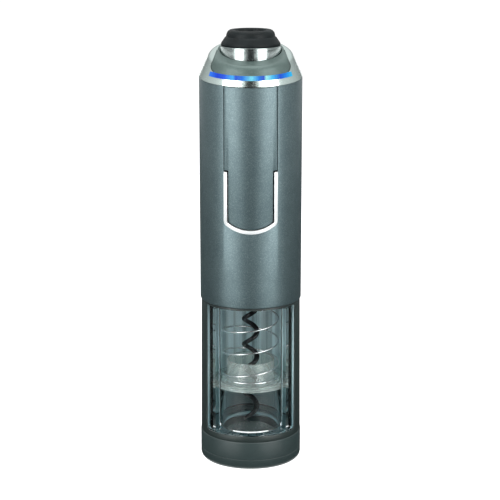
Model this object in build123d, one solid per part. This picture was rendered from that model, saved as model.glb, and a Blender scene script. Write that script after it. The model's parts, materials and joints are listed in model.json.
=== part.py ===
from build123d import *
import os
from math import acos, cos, degrees, pi, radians, sin, tan

# Cordless wine opener with a vacuum head. Millimetres, +Z up, the press panel faces -Y.
# The origin is the centre of the base ring's underside. Angles called "from the front" are
# measured about Z from -Y towards +X.

far = 60.0                  # past the surface everywhere, for cutting shapes
beyond_top_z = 250.0        # above the whole object, for cutting shapes
cut_past = 1.0              # how far a hole's cutter runs past the faces it opens

# Housing, bezel and cap
housing_r = 28.0
housing_wall = 2.2
housing_bottom_z = 92.5
housing_edge_round = 0.8
bezel_side_z = 215.9        # lower edge of the bright bezel, level with the axis
bezel_slope = 5.5           # degrees, lower towards the front
cap_side_z = 229.9          # sloping top of the cap, level with the axis
cap_slope = 14.6            # degrees, lower towards the front
hood_height = 34.0          # of the whole shoulder cone, before the sloping top cuts it
shoulder_taper = 24.0       # degrees from the vertical
shoulder_round = 4.0
seam_gap = 0.15             # between the housing and the bezel
lip_low_z = 213.2           # foot of the lip that locates the bezel in the housing
lip_wall = 1.5
lip_gap = 0.1
lip_clear_angle = 75.0      # degrees from the front kept free for the panel's hinge

# Light strip and cap apron, as heights above the bezel's lower edge
strip_low = 3.1
strip_high = 5.45
strip_half_angle = 56.5
strip_split_angle = 16.9
strip_end_gap = 0.35        # degrees
strip_depth = 2.6
strip_clearance = 0.12
strip_recess = 0.08
apron_top_half = 17.6
apron_low_half = 23.9
apron_low_z = 217.0
apron_high_z = 231.0
apron_corner = 2.7
cap_gap = 0.2

# Press panel, its hinge and its U-shaped trim
opening_half = 14.5
opening_bottom_z = 134.1
opening_arc_r = 23.0
opening_corner = 2.5
inner_corner = 1.5
trim_width = 1.8
trim_top_z = 167.4
trim_proud_r = 28.1
panel_upper_half = 13.3
panel_tongue_gap = 0.75
panel_step_z = 168.4
panel_thickness = 2.0
flange_drop = 1.0           # the panel's side flanges close the gap to the housing from behind
flange_gap = 0.25
panel_top_gap = 0.45
panel_hinge_y = -20.8
panel_hinge_z = 206.5
panel_pin_r = 1.22
panel_pin_length = 2.1
panel_pin_clearance = 0.06
ear_half = 1.35
ear_x = 7.85
ear_back_y = -19.5
ear_front_y = -26.2
ear_low_z = 204.5
ear_high_z = 208.5
tab_inner_x = 9.6
tab_outer_x = 11.8
tab_low_z = 203.9
tab_front_y = -22.4
tab_back_y = -19.2
plunger_r = 3.0
plunger_length = 1.5
plunger_face_y = -25.25
panel_switch_z = 150.0
hinge_spring_r = 2.2
hinge_spring_wire = 0.6
hinge_spring_pitch = 0.9
hinge_spring_length = 3.6
hinge_spring_leg = 9.0
hinge_spring_x = 0.8

# Charging contacts, low on the back
charge_contact_xs = (-4.0, 4.0)
charge_contact_z = 104.0
charge_contact_r = 2.0
charge_contact_inner_y = 24.6

# Sleeve with its window
sleeve_bottom_z = 15.9
sleeve_bottom_r = 27.93
sleeve_top_r = 27.41
sleeve_bore_r = 25.4
sleeve_floor = 1.5
sleeve_seam = 0.2           # under the housing
window_half_angle = 62.0
window_low_z = 19.2
window_high_z = 91.3
window_corner = 3.0
spigot_r = 25.75
spigot_bore_r = 23.9
spigot_top_z = 99.5
lower_spigot_r = 24.9
lower_spigot_bore_r = 22.9
lower_spigot_z = 12.9

# Clear tube, whose front stands out to fill the window
tube_r = 25.3
tube_bore_r = 23.5
tube_low_z = 18.75
tube_high_z = 91.15
pane_low_r = 27.75
pane_high_r = 27.28
pane_wall = 1.8
pane_gap = 0.12             # to the window's edges
pane_side = 3.5             # degrees that the pane's side walls take up
rail_angles = (-130, -50, 50, 130)   # degrees from the front
rail_inner_r = 22.4
rail_width = 2.0
rail_top_gap = 1.2

# Stop tube and neck guide
stop_tube_r = 17.6
stop_tube_bore_r = 16.0
stop_tube_foot_r = 25.2
stop_gap = 0.3              # under the neck guide
guide_low_z = 42.7
guide_flange = 3.0
guide_flange_r = 22.0
guide_rim_z = 56.4
guide_ring_r = 13.4
guide_root_r = 14.2
guide_bore_r = 12.3
guide_mouth_r = 15.6
guide_shoulder_z = 48.6

# Neck guide's spring
guide_spring_r = 15.7
guide_spring_wire = 0.95
guide_spring_pitch = 12.9
guide_spring_front_z = 50.7   # a strand crosses the front at this height
guide_spring_low_gap = 0.05
guide_spring_high_gap = 0.1

# Worm and its hub
worm_coil_r = 3.5
worm_wire_r = 1.5
worm_pitch = 14.8
worm_right_z = 57.2           # a strand is at +X at this height
worm_tip_z = 16.5
worm_taper_z = 25.0
worm_top_z = 86.5
worm_tip_r = 0.35
hub_low_z = 84.0
hub_high_z = 91.0
hub_r = 5.3
hub_nose_r = 3.6
hub_taper = 2.2

# Gearbox: two like planetary stages in one ring gear
gear_module = 0.8
sun_teeth = 12
planet_teeth = 15
ring_teeth = 42
planet_count = 3
pressure_angle = radians(20)
tooth_addendum = 0.8          # of the module, a stub tooth
tooth_dedendum = 1.0
tooth_thinning = 0.12         # taken off each flank at the pitch circle
flank_steps = 4
orbit_r = gear_module * (sun_teeth + planet_teeth) / 2
planet_pin_r = 1.6
pin_past = 0.4                # how far a carrier pin shows past its planet
running_clearance = 0.05
carrier_r = 15.4
carrier_disc = 2.5
plate_low_z = 91.2
plate_high_z = 94.2
plate_r = 23.8
plate_boss_r = 9.5
bearing_r = 7.0
bearing_top_z = 97.0
bearing_recess = 0.1
spindle_r = 4.0
spindle_low_z = 87.0
output_disc_z = 97.3
output_planet_low_z = 100.1
planet_height = 7.0
sun_lift = 0.2
input_disc_z = 108.2
input_planet_low_z = 111.0
pinion_height = 8.3
ring_low_z = 94.2
ring_high_z = 120.0
ring_flange_r = 23.7
ring_body_r = 20.0
gear_screw_orbit = 21.95
gear_screw_r = 1.2
gear_screw_head_r = 1.75
gear_screw_head = 1.4
gear_screw_floor = 0.5

# Main motor
motor_low_z = 122.5
motor_high_z = 157.0
motor_r = 13.85
motor_wall = 1.0
motor_plate_bore_r = 4.5
motor_nose_hole_r = 3.0
motor_shaft_r = 1.15
motor_shaft_past = 1.5
magnet_gap = 0.6
magnet_low_z = 127.0
magnet_high_z = 152.0
rotor_r = 9.8
rotor_low_z = 129.0
rotor_high_z = 149.0
rotor_slots = 5
rotor_slot_half = 0.9
rotor_slot_inner = 4.2
commutator_r = 3.6
commutator_neck_r = 2.2
commutator_low_z = 150.5
commutator_high_z = 156.0
end_cap_height = 2.6
terminal_x = 8.0
terminal_half_width = 1.4
terminal_half_thickness = 0.4
terminal_height = 2.8

# Chassis and what it carries
chassis_r = 25.4
chassis_front_y = -17.6
chassis_ring_height = 3.0
chassis_ring_high_z = 143.0
motor_fit = 0.15
seat_fit = 0.05
seat_wall = 1.3
pump_seat_wall = 2.2
seat_top_z = 172.0
deck_low_z = 163.0
deck_high_z = 165.5
wire_hole_r = 2.0
wire_hole_x = -17.0
wire_hole_y = -8.0
post_inner_x = 21.0
post_outer_x = 24.4
post_half_y = 4.0
post_high_z = 209.5
deck_screw_r = 1.1
deck_screw_x = 22.5
deck_screw_low_z = 204.5
deck_screw_head_r = 1.8
deck_screw_head = 1.3

# Control board, its parts and the panel's switch
board_half = 10.5
board_thickness = 1.6
board_low_z = 127.0
board_high_z = 198.0
chip_half = 4.0
chip_height = 1.3
chip_low_z = 172.0
chip_high_z = 180.0
choke_x0 = 3.0
choke_x1 = 8.0
choke_height = 2.6
choke_low_z = 186.0
choke_high_z = 191.0
switch_half = 3.0
switch_height = 3.5
switch_button_r = 1.7
switch_button_height = 0.8

# Cells
cell_r = 7.05
cell_x = 7.6
cell_y = 13.5
cell_low_z = 166.3
cell_high_z = 216.1
cell_nub_r = 2.7
cell_nub = 1.0
contact_pad_r = 5.0
contact_bridge_half_x = 11.0
contact_bridge_half_y = 3.0
contact_thickness = 0.4

# Vacuum pump: motor, tilted crank, wobble plate and three diaphragm cups
pump_y = -5.0
pump_motor_r = 10.0
pump_motor_wall = 0.9
pump_motor_low_z = 165.6
pump_motor_high_z = 186.0
pump_shaft_r = 1.0
pump_shaft_hole_r = 1.6
pump_shaft_low_z = 166.8
pump_shaft_high_z = 190.1
pump_rotor_r = 7.6
pump_rotor_low_z = 169.0
pump_rotor_high_z = 182.0
pump_r = 11.0
pump_wall = 1.2
pump_foot_bore_r = 4.8
pump_foot_height = 1.0
pump_frame_high_z = 198.0
pump_cover_low_z = 200.0
pump_cover_high_z = 203.2
spout_r = 1.2
spout_bore_r = 0.6
spout_high_z = 205.8
air_tube_r = 2.3
air_tube_bore_r = 1.25
wobble_tilt = 4.0             # degrees between the crank pin and the pump's axis
wobble_centre_z = 192.5
crank_r = 4.2
crank_low_z = 187.4
crank_bore_high_z = 190.2
crank_high_z = 191.0
crank_pin_r = 0.9
crank_pin_half = 3.0
wobble_hub_r = 1.9
wobble_hub_low = -0.4         # heights in the wobble plate's own frame
wobble_hub_high = 3.4
wobble_bore_high = 3.1
wobble_arm_low = 1.4
wobble_arm_high = 2.6
wobble_arm_half = 1.1
wobble_arm_inner = 1.2
wobble_arm_reach = 6.2
wobble_arm_end_r = 1.5
cup_r = 2.4
cup_floor = 0.7

# Vacuum head
collar_r = 16.4
collar_hole_r = 16.8
collar_wall = 0.8
collar_low_z = 220.5
collar_high_z = 232.2
carrier_low_z = 221.0
carrier_fit = 0.02
stem_r = 3.5
stem_bore_r = 1.2
stem_low_z = 212.6
head_deck_low_z = 209.5
head_deck_high_z = 211.5
head_deck_r = 24.5
deck_cell_gap = 0.3
guide_boss_r = 5.5
guide_boss_high_z = 216.0
guide_boss_floor = 0.8
deck_spout_low_z = 206.4
seal_r = 4.2
seal_wire_r = 0.6
head_spring_r = 8.0
head_spring_wire = 0.8
head_spring_pitch = 2.9
head_spring_low_gap = 0.45
head_spring_high_gap = 0.5
head_switch_x0 = 9.4
head_switch_x1 = 15.0
head_switch_half_y = 3.0
head_switch_high_z = 216.6
head_plunger_r = 1.7
head_plunger_high_z = 218.8

# Lamp board under the light strip
lamp_board_r = 24.3
lamp_board_bore_r = 17.5
lamp_board_thickness = 1.0
lamp_board_half_angle = 70.0
lamp_angles = (-37, 0, 37)    # degrees from the front
lamp_orbit = 22.5
lamp_width = 3.5
lamp_depth = 2.8
lamp_height = 1.0

# Rubber nozzle, as radii and heights above its foot
nozzle_foot_r = 15.9
nozzle_lip_r = 16.1
nozzle_lip_z = 1.2
nozzle_waist_r = 14.7
nozzle_waist_z = 3.5
nozzle_shoulder_r = 13.5
nozzle_shoulder_z = 5.2
nozzle_crown_r = 13.0
nozzle_crown_z = 6.9
nozzle_crown_mid_r = 12.5
nozzle_crown_mid_z = 8.0
nozzle_top_r = 11.3
nozzle_top_z = 240.7
nozzle_mouth_r = 8.5
nozzle_mouth_chamfer = 0.65
nozzle_mouth_taper = 0.5
nozzle_bowl_z = 1.6
nozzle_floor_z = 1.0
nozzle_port_r = 1.6

# Foil cutter, which is also the base ring
cutter_r = 28.15
cutter_edge = 1.6
cutter_bore_r = 15.0
cutter_mouth = 1.0
cutter_socket_r = 25.1
cutter_socket_z = 12.7
cutter_groove_z = 5.6
cutter_groove = 0.25
wheel_r = 4.5
wheel_orbit = 17.9
wheel_z = 7.0
wheel_thickness = 0.6
wheel_bevel = 0.8
wheel_gap = 0.5
wheel_pin_r = 1.0
wheel_pin_low_z = 3.0
wheel_pin_high_z = 11.0
wheel_angles = (45, 135, 225, 315)

bezel_plane = Plane(origin=(0, 0, bezel_side_z), x_dir=(1, 0, 0),
                    z_dir=(0, -sin(radians(bezel_slope)), cos(radians(bezel_slope))))
cap_plane = Plane(origin=(0, 0, cap_side_z), x_dir=(1, 0, 0),
                  z_dir=(0, -sin(radians(cap_slope)), cos(radians(cap_slope))))


# ---- Shapes used throughout ----

def disc(radius, low, high, x=0, y=0):
    """Upright cylinder between two heights."""
    return Pos(x, y, low) * Cylinder(radius, high - low, align=(Align.CENTER, Align.CENTER, Align.MIN))


def ring(outer, inner, low, high, x=0, y=0):
    """Upright tube between two heights."""
    return disc(outer, low, high, x, y) - disc(inner, low - cut_past, high + cut_past, x, y)


def block(x0, x1, y0, y1, z0, z1):
    """Box between six planes."""
    return Pos(x0, y0, z0) * Box(x1 - x0, y1 - y0, z1 - z0, align=(Align.MIN, Align.MIN, Align.MIN))


def rod_along_x(radius, length, x, y, z, side=1):
    """Cylinder that starts at a point and runs along +X, or along -X on the left side."""
    rod = Cylinder(radius, length, align=(Align.CENTER, Align.CENTER, Align.MIN))
    return Pos(x, y, z) * Rot(0, side * 90, 0) * rod


def rod_along_y(radius, length, x, y, z, side=-1):
    """Cylinder that starts at a point and runs towards the front, or to the back for side 1."""
    rod = Cylinder(radius, length, align=(Align.CENTER, Align.CENTER, Align.MIN))
    return Pos(x, y, z) * Rot(-side * 90, 0, 0) * rod


def turned(points):
    """Solid of revolution about Z from a closed outline of radius and height."""
    outline = Polyline([(r, 0, z) for r, z in points], close=True)
    return revolve(make_face(outline), Axis.Z)


def front_angle(angle):
    """Plain polar angle of an angle from the front."""
    return angle - 90


def wedge(start, end, low, high):
    """Sector about Z between two angles from the front."""
    steps = max(2, int((end - start) / 20))
    angles = [front_angle(start + (end - start) * i / steps) for i in range(steps + 1)]
    arc = [(far * cos(radians(a)), far * sin(radians(a))) for a in angles]
    outline = make_face(Polyline([(0, 0)] + arc, close=True))
    return Pos(0, 0, low) * extrude(outline, high - low)


def above(plane, height):
    """Everything above a plane raised by a height."""
    size = far * 1.5
    return plane * Pos(0, 0, height) * Box(size, size, size, align=(Align.CENTER, Align.CENTER, Align.MIN))


def coil(radius, wire, pitch, low, high, start_angle):
    """Right-handed wire coil about Z."""
    path = Helix(pitch, high - low, radius)
    section = Plane(path @ 0, z_dir=path % 0) * Circle(wire / 2)
    return Pos(0, 0, low) * Rot(0, 0, start_angle) * sweep(section, path=path, is_frenet=True)


# ---- Outer shells ----

def front_outline(half, bottom_z, arc_r, corner):
    """Upright outline with a shallow curved bottom and rounded lower corners, facing the front."""
    side_z = bottom_z + arc_r - (arc_r ** 2 - half ** 2) ** 0.5
    sides = Polyline((half, side_z), (half, beyond_top_z), (-half, beyond_top_z), (-half, side_z))
    bottom = ThreePointArc((-half, side_z), (0, bottom_z), (half, side_z))
    face = make_face(sides + bottom)
    return fillet(face.vertices().group_by(Axis.Y)[0], corner)


def front_prism(face, near_y=-15.0):
    """Outline in X and Z pushed out through the front wall."""
    return Pos(0, near_y, 0) * Rot(90, 0, 0) * extrude(face, far + near_y)


def panel_opening(inset=0.0, corner=opening_corner):
    """Space of the panel and its trim, drawn in by an inset."""
    return front_prism(front_outline(opening_half - inset, opening_bottom_z + inset,
                                     opening_arc_r - inset, corner))


def main_housing():
    shell = ring(housing_r, housing_r - housing_wall, housing_bottom_z, beyond_top_z)
    shell -= above(bezel_plane, -seam_gap)
    lowest_edges = shell.edges().filter_by(GeomType.CIRCLE).group_by(Axis.Z)[0]
    shell = fillet(lowest_edges.sort_by(SortBy.RADIUS)[-1], housing_edge_round)
    shell -= panel_opening()
    for x in charge_contact_xs:
        shell -= charge_contact(x)
    return shell


def panel_trim():
    wall = ring(trim_proud_r, housing_r - housing_wall, opening_bottom_z - cut_past, trim_top_z)
    return (wall & panel_opening()) - panel_opening(trim_width, inner_corner)


def panel_ear(side):
    """One of the two hinge ears with its pin, which turns in the head deck's tab."""
    x0, x1 = side * ear_x - ear_half, side * ear_x + ear_half
    ear = block(x0, x1, ear_front_y, ear_back_y, ear_low_z, ear_high_z)
    ear &= disc(housing_r - panel_thickness / 2, 0, beyond_top_z)
    return ear + rod_along_x(panel_pin_r, panel_pin_length, side * (ear_x + ear_half),
                             panel_hinge_y, panel_hinge_z, side)


def press_panel():
    tongue = panel_opening(trim_width + panel_tongue_gap, inner_corner)
    upper = block(-panel_upper_half, panel_upper_half, -far, 0, panel_step_z, beyond_top_z)
    wall = ring(housing_r, housing_r - panel_thickness, opening_bottom_z, beyond_top_z)
    flange = ring(housing_r - flange_drop, housing_r - panel_thickness, panel_step_z, beyond_top_z)
    flange &= panel_opening(flange_gap, inner_corner)
    shell = (wall & (tongue + upper)) + flange - above(bezel_plane, -panel_top_gap)
    plunger = rod_along_y(plunger_r, plunger_length, 0, plunger_face_y, panel_switch_z)
    shell += plunger & disc(housing_r - panel_thickness / 4, 0, beyond_top_z)
    return shell + panel_ear(-1) + panel_ear(1)


def hood_form(radius, top_drop, rounded):
    """Tapered shoulder closed by the sloping top."""
    top_radius = radius - hood_height * tan(radians(shoulder_taper))
    form = bezel_plane * Cone(radius, top_radius, hood_height, align=(Align.CENTER, Align.CENTER, Align.MIN))
    form -= above(cap_plane, -top_drop)
    if rounded:
        form = fillet(form.edges().group_by(Axis.Z)[-1], shoulder_round)
    return form


def hood_shell():
    """Wall shared by the bezel and the cap."""
    inner = hood_form(housing_r - housing_wall, housing_wall, False)
    return hood_form(housing_r, 0, True) - inner


def is_apron_corner(edge):
    """True for the two long edges at the apron's lower corners."""
    at_corner = abs(edge.center().X) > apron_low_half - 4 and edge.center().Z < apron_low_z + 6
    return at_corner and abs((edge @ 1 - edge @ 0).Y) > apron_top_half


def cap_region(grow):
    """Space that the dark cap takes up out of the hood."""
    half_low = apron_low_half + grow
    half_top = apron_top_half + grow
    foot_z = apron_low_z - 2 * (apron_high_z - apron_low_z)
    right_side = [(half_top, beyond_top_z), (half_top, apron_high_z), (half_low, apron_low_z),
                  (half_low, foot_z)]
    left_side = [(-x, z) for x, z in reversed(right_side)]
    outline = make_face(Polyline(right_side + left_side, close=True))
    apron = front_prism(outline, near_y=0) & above(bezel_plane, strip_high - grow)
    apron = fillet([edge for edge in apron.edges() if is_apron_corner(edge)], apron_corner)
    return apron + disc(apron_top_half + grow, foot_z, beyond_top_z)


def strip_slot():
    """Curved slot under the apron for the light guides."""
    band = above(bezel_plane, strip_low) - above(bezel_plane, strip_high)
    return band & wedge(-strip_half_angle, strip_half_angle, 0, beyond_top_z)


def top_cap():
    cap = hood_shell() & cap_region(0)
    return cap - disc(collar_hole_r, 0, beyond_top_z)


def chrome_bezel():
    bezel = hood_shell() - cap_region(cap_gap) - strip_slot()
    lip_r = housing_r - housing_wall - lip_gap
    lip = ring(lip_r, lip_r - lip_wall, lip_low_z, bezel_side_z + shoulder_round)
    lip -= above(bezel_plane, lip_wall / 3)
    lip -= wedge(-lip_clear_angle, lip_clear_angle, 0, beyond_top_z)
    return bezel + lip


def light_guides():
    """Three clear bars that carry the light to the strip, the middle one split off at each side."""
    outer = hood_form(housing_r - strip_recess, 0, False)
    inner = hood_form(housing_r - strip_depth, 0, False)
    band = (outer - inner) & (above(bezel_plane, strip_low + strip_clearance)
                              - above(bezel_plane, strip_high - strip_clearance))
    ends = [-strip_half_angle, -strip_split_angle, strip_split_angle, strip_half_angle]
    return [band & wedge(a + strip_end_gap, b - strip_end_gap, 0, beyond_top_z)
            for a, b in zip(ends, ends[1:])]


def led_board():
    board_top = head_deck_high_z + lamp_board_thickness
    board = ring(lamp_board_r, lamp_board_bore_r, head_deck_high_z, board_top)
    board &= wedge(-lamp_board_half_angle, lamp_board_half_angle, 0, beyond_top_z)
    lamp = Box(lamp_width, lamp_depth, lamp_height, align=(Align.CENTER, Align.CENTER, Align.MIN))
    return [board] + [Rot(0, 0, a) * Pos(0, -lamp_orbit, board_top) * lamp for a in lamp_angles]


def charge_contact(x):
    rod = rod_along_y(charge_contact_r, far, x, charge_contact_inner_y, charge_contact_z, 1)
    return rod & disc(housing_r, 0, beyond_top_z)


def charge_contacts():
    return [charge_contact(x) for x in charge_contact_xs]


# ---- Sleeve and the clear parts ----

def window_space(gap):
    """The window's sector with its rounded lower corners, drawn in by a gap."""
    half = window_half_angle - degrees(gap / sleeve_top_r)
    space = wedge(-half, half, window_low_z + gap, window_high_z)
    corners = [edge for edge in space.edges()
               if abs(edge.center().Z - window_low_z - gap) < 0.01 and abs(edge.length - far) < 0.5]
    return fillet(corners, window_corner)


def window_sleeve():
    seat_z = housing_bottom_z - sleeve_seam
    floor_r = stop_tube_r + lip_gap
    outline = [(sleeve_bore_r, sleeve_bottom_z + sleeve_floor), (sleeve_bore_r, housing_bottom_z),
               (spigot_bore_r, housing_bottom_z), (spigot_bore_r, spigot_top_z), (spigot_r, spigot_top_z),
               (spigot_r, seat_z), (sleeve_top_r, seat_z), (sleeve_bottom_r, sleeve_bottom_z),
               (lower_spigot_r, sleeve_bottom_z), (lower_spigot_r, lower_spigot_z),
               (lower_spigot_bore_r, lower_spigot_z), (lower_spigot_bore_r, sleeve_bottom_z),
               (floor_r, sleeve_bottom_z), (floor_r, sleeve_bottom_z + sleeve_floor)]
    return turned(outline) - window_space(0)


def clear_tube():
    """Round tube at the back, stepping out through side walls to a pane that fills the window."""
    inner_half = window_half_angle - pane_side
    tube = ring(tube_r, tube_bore_r, tube_low_z, tube_high_z)
    tube -= wedge(-inner_half, inner_half, 0, beyond_top_z)
    filled = turned([(0, window_low_z), (pane_low_r, window_low_z), (pane_high_r, tube_high_z),
                     (0, tube_high_z)])
    hollow = turned([(0, 0), (pane_low_r - pane_wall, 0), (pane_high_r - pane_wall, beyond_top_z),
                     (0, beyond_top_z)])
    pane = filled - (hollow & wedge(-inner_half, inner_half, 0, beyond_top_z))
    tube += (pane & window_space(pane_gap)) - disc(tube_bore_r, 0, beyond_top_z)
    for angle in rail_angles:
        outer_r = tube_bore_r if abs(angle) > window_half_angle else pane_high_r - pane_wall
        rail = block(-rail_width / 2, rail_width / 2, -outer_r - pane_wall / 3, -rail_inner_r,
                     window_low_z + pane_gap, tube_high_z - rail_top_gap)
        tube += Rot(0, 0, angle) * rail
    return tube


def stop_tube():
    foot_low = sleeve_bottom_z + sleeve_floor
    top_z = guide_low_z - stop_gap
    outline = [(stop_tube_bore_r, sleeve_bottom_z), (stop_tube_r, sleeve_bottom_z), (stop_tube_r, foot_low),
               (stop_tube_foot_r, foot_low), (stop_tube_foot_r, tube_low_z), (stop_tube_r, tube_low_z),
               (stop_tube_r, top_z), (stop_tube_bore_r, top_z)]
    return turned(outline)


def neck_guide():
    flange_top = guide_low_z + guide_flange
    outline = [(guide_mouth_r, guide_low_z), (guide_flange_r, guide_low_z), (guide_flange_r, flange_top),
               (guide_root_r, flange_top), (guide_ring_r, guide_shoulder_z), (guide_ring_r, guide_rim_z),
               (guide_bore_r, guide_rim_z), (guide_bore_r, guide_shoulder_z)]
    return turned(outline)


def guide_spring():
    low = guide_low_z + guide_flange + guide_spring_wire / 2 + guide_spring_low_gap
    high = plate_low_z - guide_spring_wire / 2 - guide_spring_high_gap
    turns_before_front = (guide_spring_front_z - low) / guide_spring_pitch
    start = front_angle(0) - 360 * turns_before_front
    return coil(guide_spring_r, guide_spring_wire, guide_spring_pitch, low, high, start)


def worm_angle(z):
    """Polar angle of the worm's wire at a height."""
    return 360 * (z - worm_right_z) / worm_pitch


def worm():
    """Coil of even wire, drawn out to a point over its lowest part."""
    body = coil(worm_coil_r, worm_wire_r * 2, worm_pitch, worm_taper_z, worm_top_z, worm_angle(worm_taper_z))
    path = Helix(worm_pitch, worm_taper_z - worm_tip_z, worm_coil_r)
    tip_end = Plane(path @ 0, z_dir=path % 0) * Circle(worm_tip_r)
    root_end = Plane(path @ 1, z_dir=path % 1) * Circle(worm_wire_r)
    tip = sweep([tip_end.face(), root_end.face()], path=path, multisection=True, is_frenet=True)
    return body + Pos(0, 0, worm_tip_z) * Rot(0, 0, worm_angle(worm_tip_z)) * tip


def worm_hub():
    outline = [(0, hub_low_z), (hub_nose_r, hub_low_z), (hub_r, hub_low_z + hub_taper), (hub_r, hub_high_z),
               (spindle_r, hub_high_z), (spindle_r, spindle_low_z), (0, spindle_low_z)]
    return turned(outline)


# ---- Gearbox ----

def involute(angle):
    return tan(angle) - angle


def gear_face(teeth, addendum, dedendum, thinning):
    """Involute outline with a tooth centred on +X."""
    pitch_r = gear_module * teeth / 2
    base_r = pitch_r * cos(pressure_angle)
    root_r = pitch_r - dedendum * gear_module
    tip_r = pitch_r + addendum * gear_module
    half_at_pitch = pi / (2 * teeth) - thinning / pitch_r
    flank = []
    for i in range(flank_steps + 1):
        r = root_r + (tip_r - root_r) * i / flank_steps
        roll = involute(acos(base_r / max(r, base_r)))
        flank.append((r, half_at_pitch + involute(pressure_angle) - roll))
    points = []
    for tooth in range(teeth):
        centre = 2 * pi * tooth / teeth
        rising = [(r, centre - half) for r, half in flank]
        falling = [(r, centre + half) for r, half in reversed(flank)]
        points += [(r * cos(a), r * sin(a)) for r, a in rising + falling]
    return make_face(Polyline(points, close=True))


def gear(teeth, low, height):
    face = gear_face(teeth, tooth_addendum, tooth_dedendum, tooth_thinning)
    return Pos(0, 0, low) * extrude(face, height)


def gear_screw_places():
    angles = [60 + 120 * i for i in range(3)]
    return [(gear_screw_orbit * cos(radians(a)), gear_screw_orbit * sin(radians(a))) for a in angles]


def ring_gear():
    tooth_space = gear_face(ring_teeth, tooth_dedendum, tooth_addendum, -tooth_thinning)
    body = disc(ring_flange_r, ring_low_z, bearing_top_z) + disc(ring_body_r, bearing_top_z, ring_high_z)
    body -= Pos(0, 0, ring_low_z - cut_past) * extrude(tooth_space, ring_high_z - ring_low_z + 2 * cut_past)
    for x, y in gear_screw_places():
        body -= disc(gear_screw_r, ring_low_z - cut_past, bearing_top_z + cut_past, x, y)
    return body


def gearbox_screws():
    screws = []
    for x, y in gear_screw_places():
        shank = disc(gear_screw_r, plate_low_z + gear_screw_floor, bearing_top_z, x, y)
        head = disc(gear_screw_head_r, bearing_top_z, bearing_top_z + gear_screw_head, x, y)
        screws.append(shank + head)
    return screws


def front_plate():
    plate = disc(plate_r, plate_low_z, plate_high_z) + disc(plate_boss_r, plate_high_z, bearing_top_z)
    plate -= disc(bearing_r, plate_low_z - cut_past, bearing_top_z + cut_past)
    for x, y in gear_screw_places():
        plate -= disc(gear_screw_r, plate_low_z + gear_screw_floor, plate_high_z + cut_past, x, y)
    return plate


def spindle_bearing():
    return ring(bearing_r, spindle_r + running_clearance, plate_low_z + bearing_recess, bearing_top_z)


def planet_places():
    return [360 * i / planet_count for i in range(planet_count)]


def carrier_pins(low, planet_low):
    """Three pins from a carrier's disc through its planets."""
    high = planet_low + planet_height + pin_past
    pins = [Rot(0, 0, a) * disc(planet_pin_r, low, high, orbit_r) for a in planet_places()]
    return pins[0] + pins[1] + pins[2]


def spindle():
    disc_top = output_disc_z + carrier_disc
    body = disc(spindle_r, spindle_low_z, output_disc_z) + disc(carrier_r, output_disc_z, disc_top)
    return body + carrier_pins(disc_top, output_planet_low_z)


def sun_carrier():
    disc_top = input_disc_z + carrier_disc
    sun_low = output_planet_low_z + sun_lift
    sun = gear(sun_teeth, sun_low, input_disc_z - sun_low)
    return sun + disc(carrier_r, input_disc_z, disc_top) + carrier_pins(disc_top, input_planet_low_z)


def planet(low, place):
    bore = disc(planet_pin_r + running_clearance, low - cut_past, low + planet_height + cut_past)
    return Rot(0, 0, place) * Pos(orbit_r, 0, 0) * (gear(planet_teeth, low, planet_height) - bore)


def motor_pinion():
    low = input_planet_low_z + sun_lift
    return gear(sun_teeth, low, pinion_height) - disc(motor_shaft_r, 0, beyond_top_z)


def motor_plate():
    return ring(ring_body_r, motor_plate_bore_r, ring_high_z, motor_low_z)


# ---- Main motor ----

def motor_can():
    """Pressed can with its two curved magnets."""
    can = disc(motor_r, motor_low_z, motor_high_z)
    can -= disc(motor_r - motor_wall, motor_low_z + motor_wall, motor_high_z + cut_past)
    can -= disc(motor_nose_hole_r, motor_low_z - cut_past, motor_low_z + 2 * motor_wall)
    magnets = ring(motor_r - motor_wall, rotor_r + magnet_gap, magnet_low_z, magnet_high_z)
    sides = [(-60, 60), (120, 240)]
    return [can] + [magnets & wedge(a, b, 0, beyond_top_z) for a, b in sides]


def motor_rotor():
    shaft = disc(motor_shaft_r, input_planet_low_z + pin_past, motor_high_z + motor_shaft_past)
    core = disc(rotor_r, rotor_low_z, rotor_high_z)
    slot = block(rotor_slot_inner, far, -rotor_slot_half, rotor_slot_half, 0, beyond_top_z)
    for i in range(rotor_slots):
        core -= Rot(0, 0, 360 * i / rotor_slots) * slot
    neck = disc(commutator_neck_r, rotor_high_z, commutator_low_z)
    return shaft + core + neck + disc(commutator_r, commutator_low_z, commutator_high_z)


def motor_end_cap():
    top = motor_high_z + end_cap_height
    cap = ring(motor_r, motor_shaft_r + running_clearance, motor_high_z, top)
    for x in (-terminal_x, terminal_x):
        cap += block(x - terminal_half_width, x + terminal_half_width, -terminal_half_thickness,
                     terminal_half_thickness, top, top + terminal_height)
    return cap


# ---- Chassis, board and cells ----

def cell_places():
    return [(-cell_x, cell_y), (cell_x, cell_y)]


def deck_screw_places():
    return [-deck_screw_x, deck_screw_x]


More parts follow.
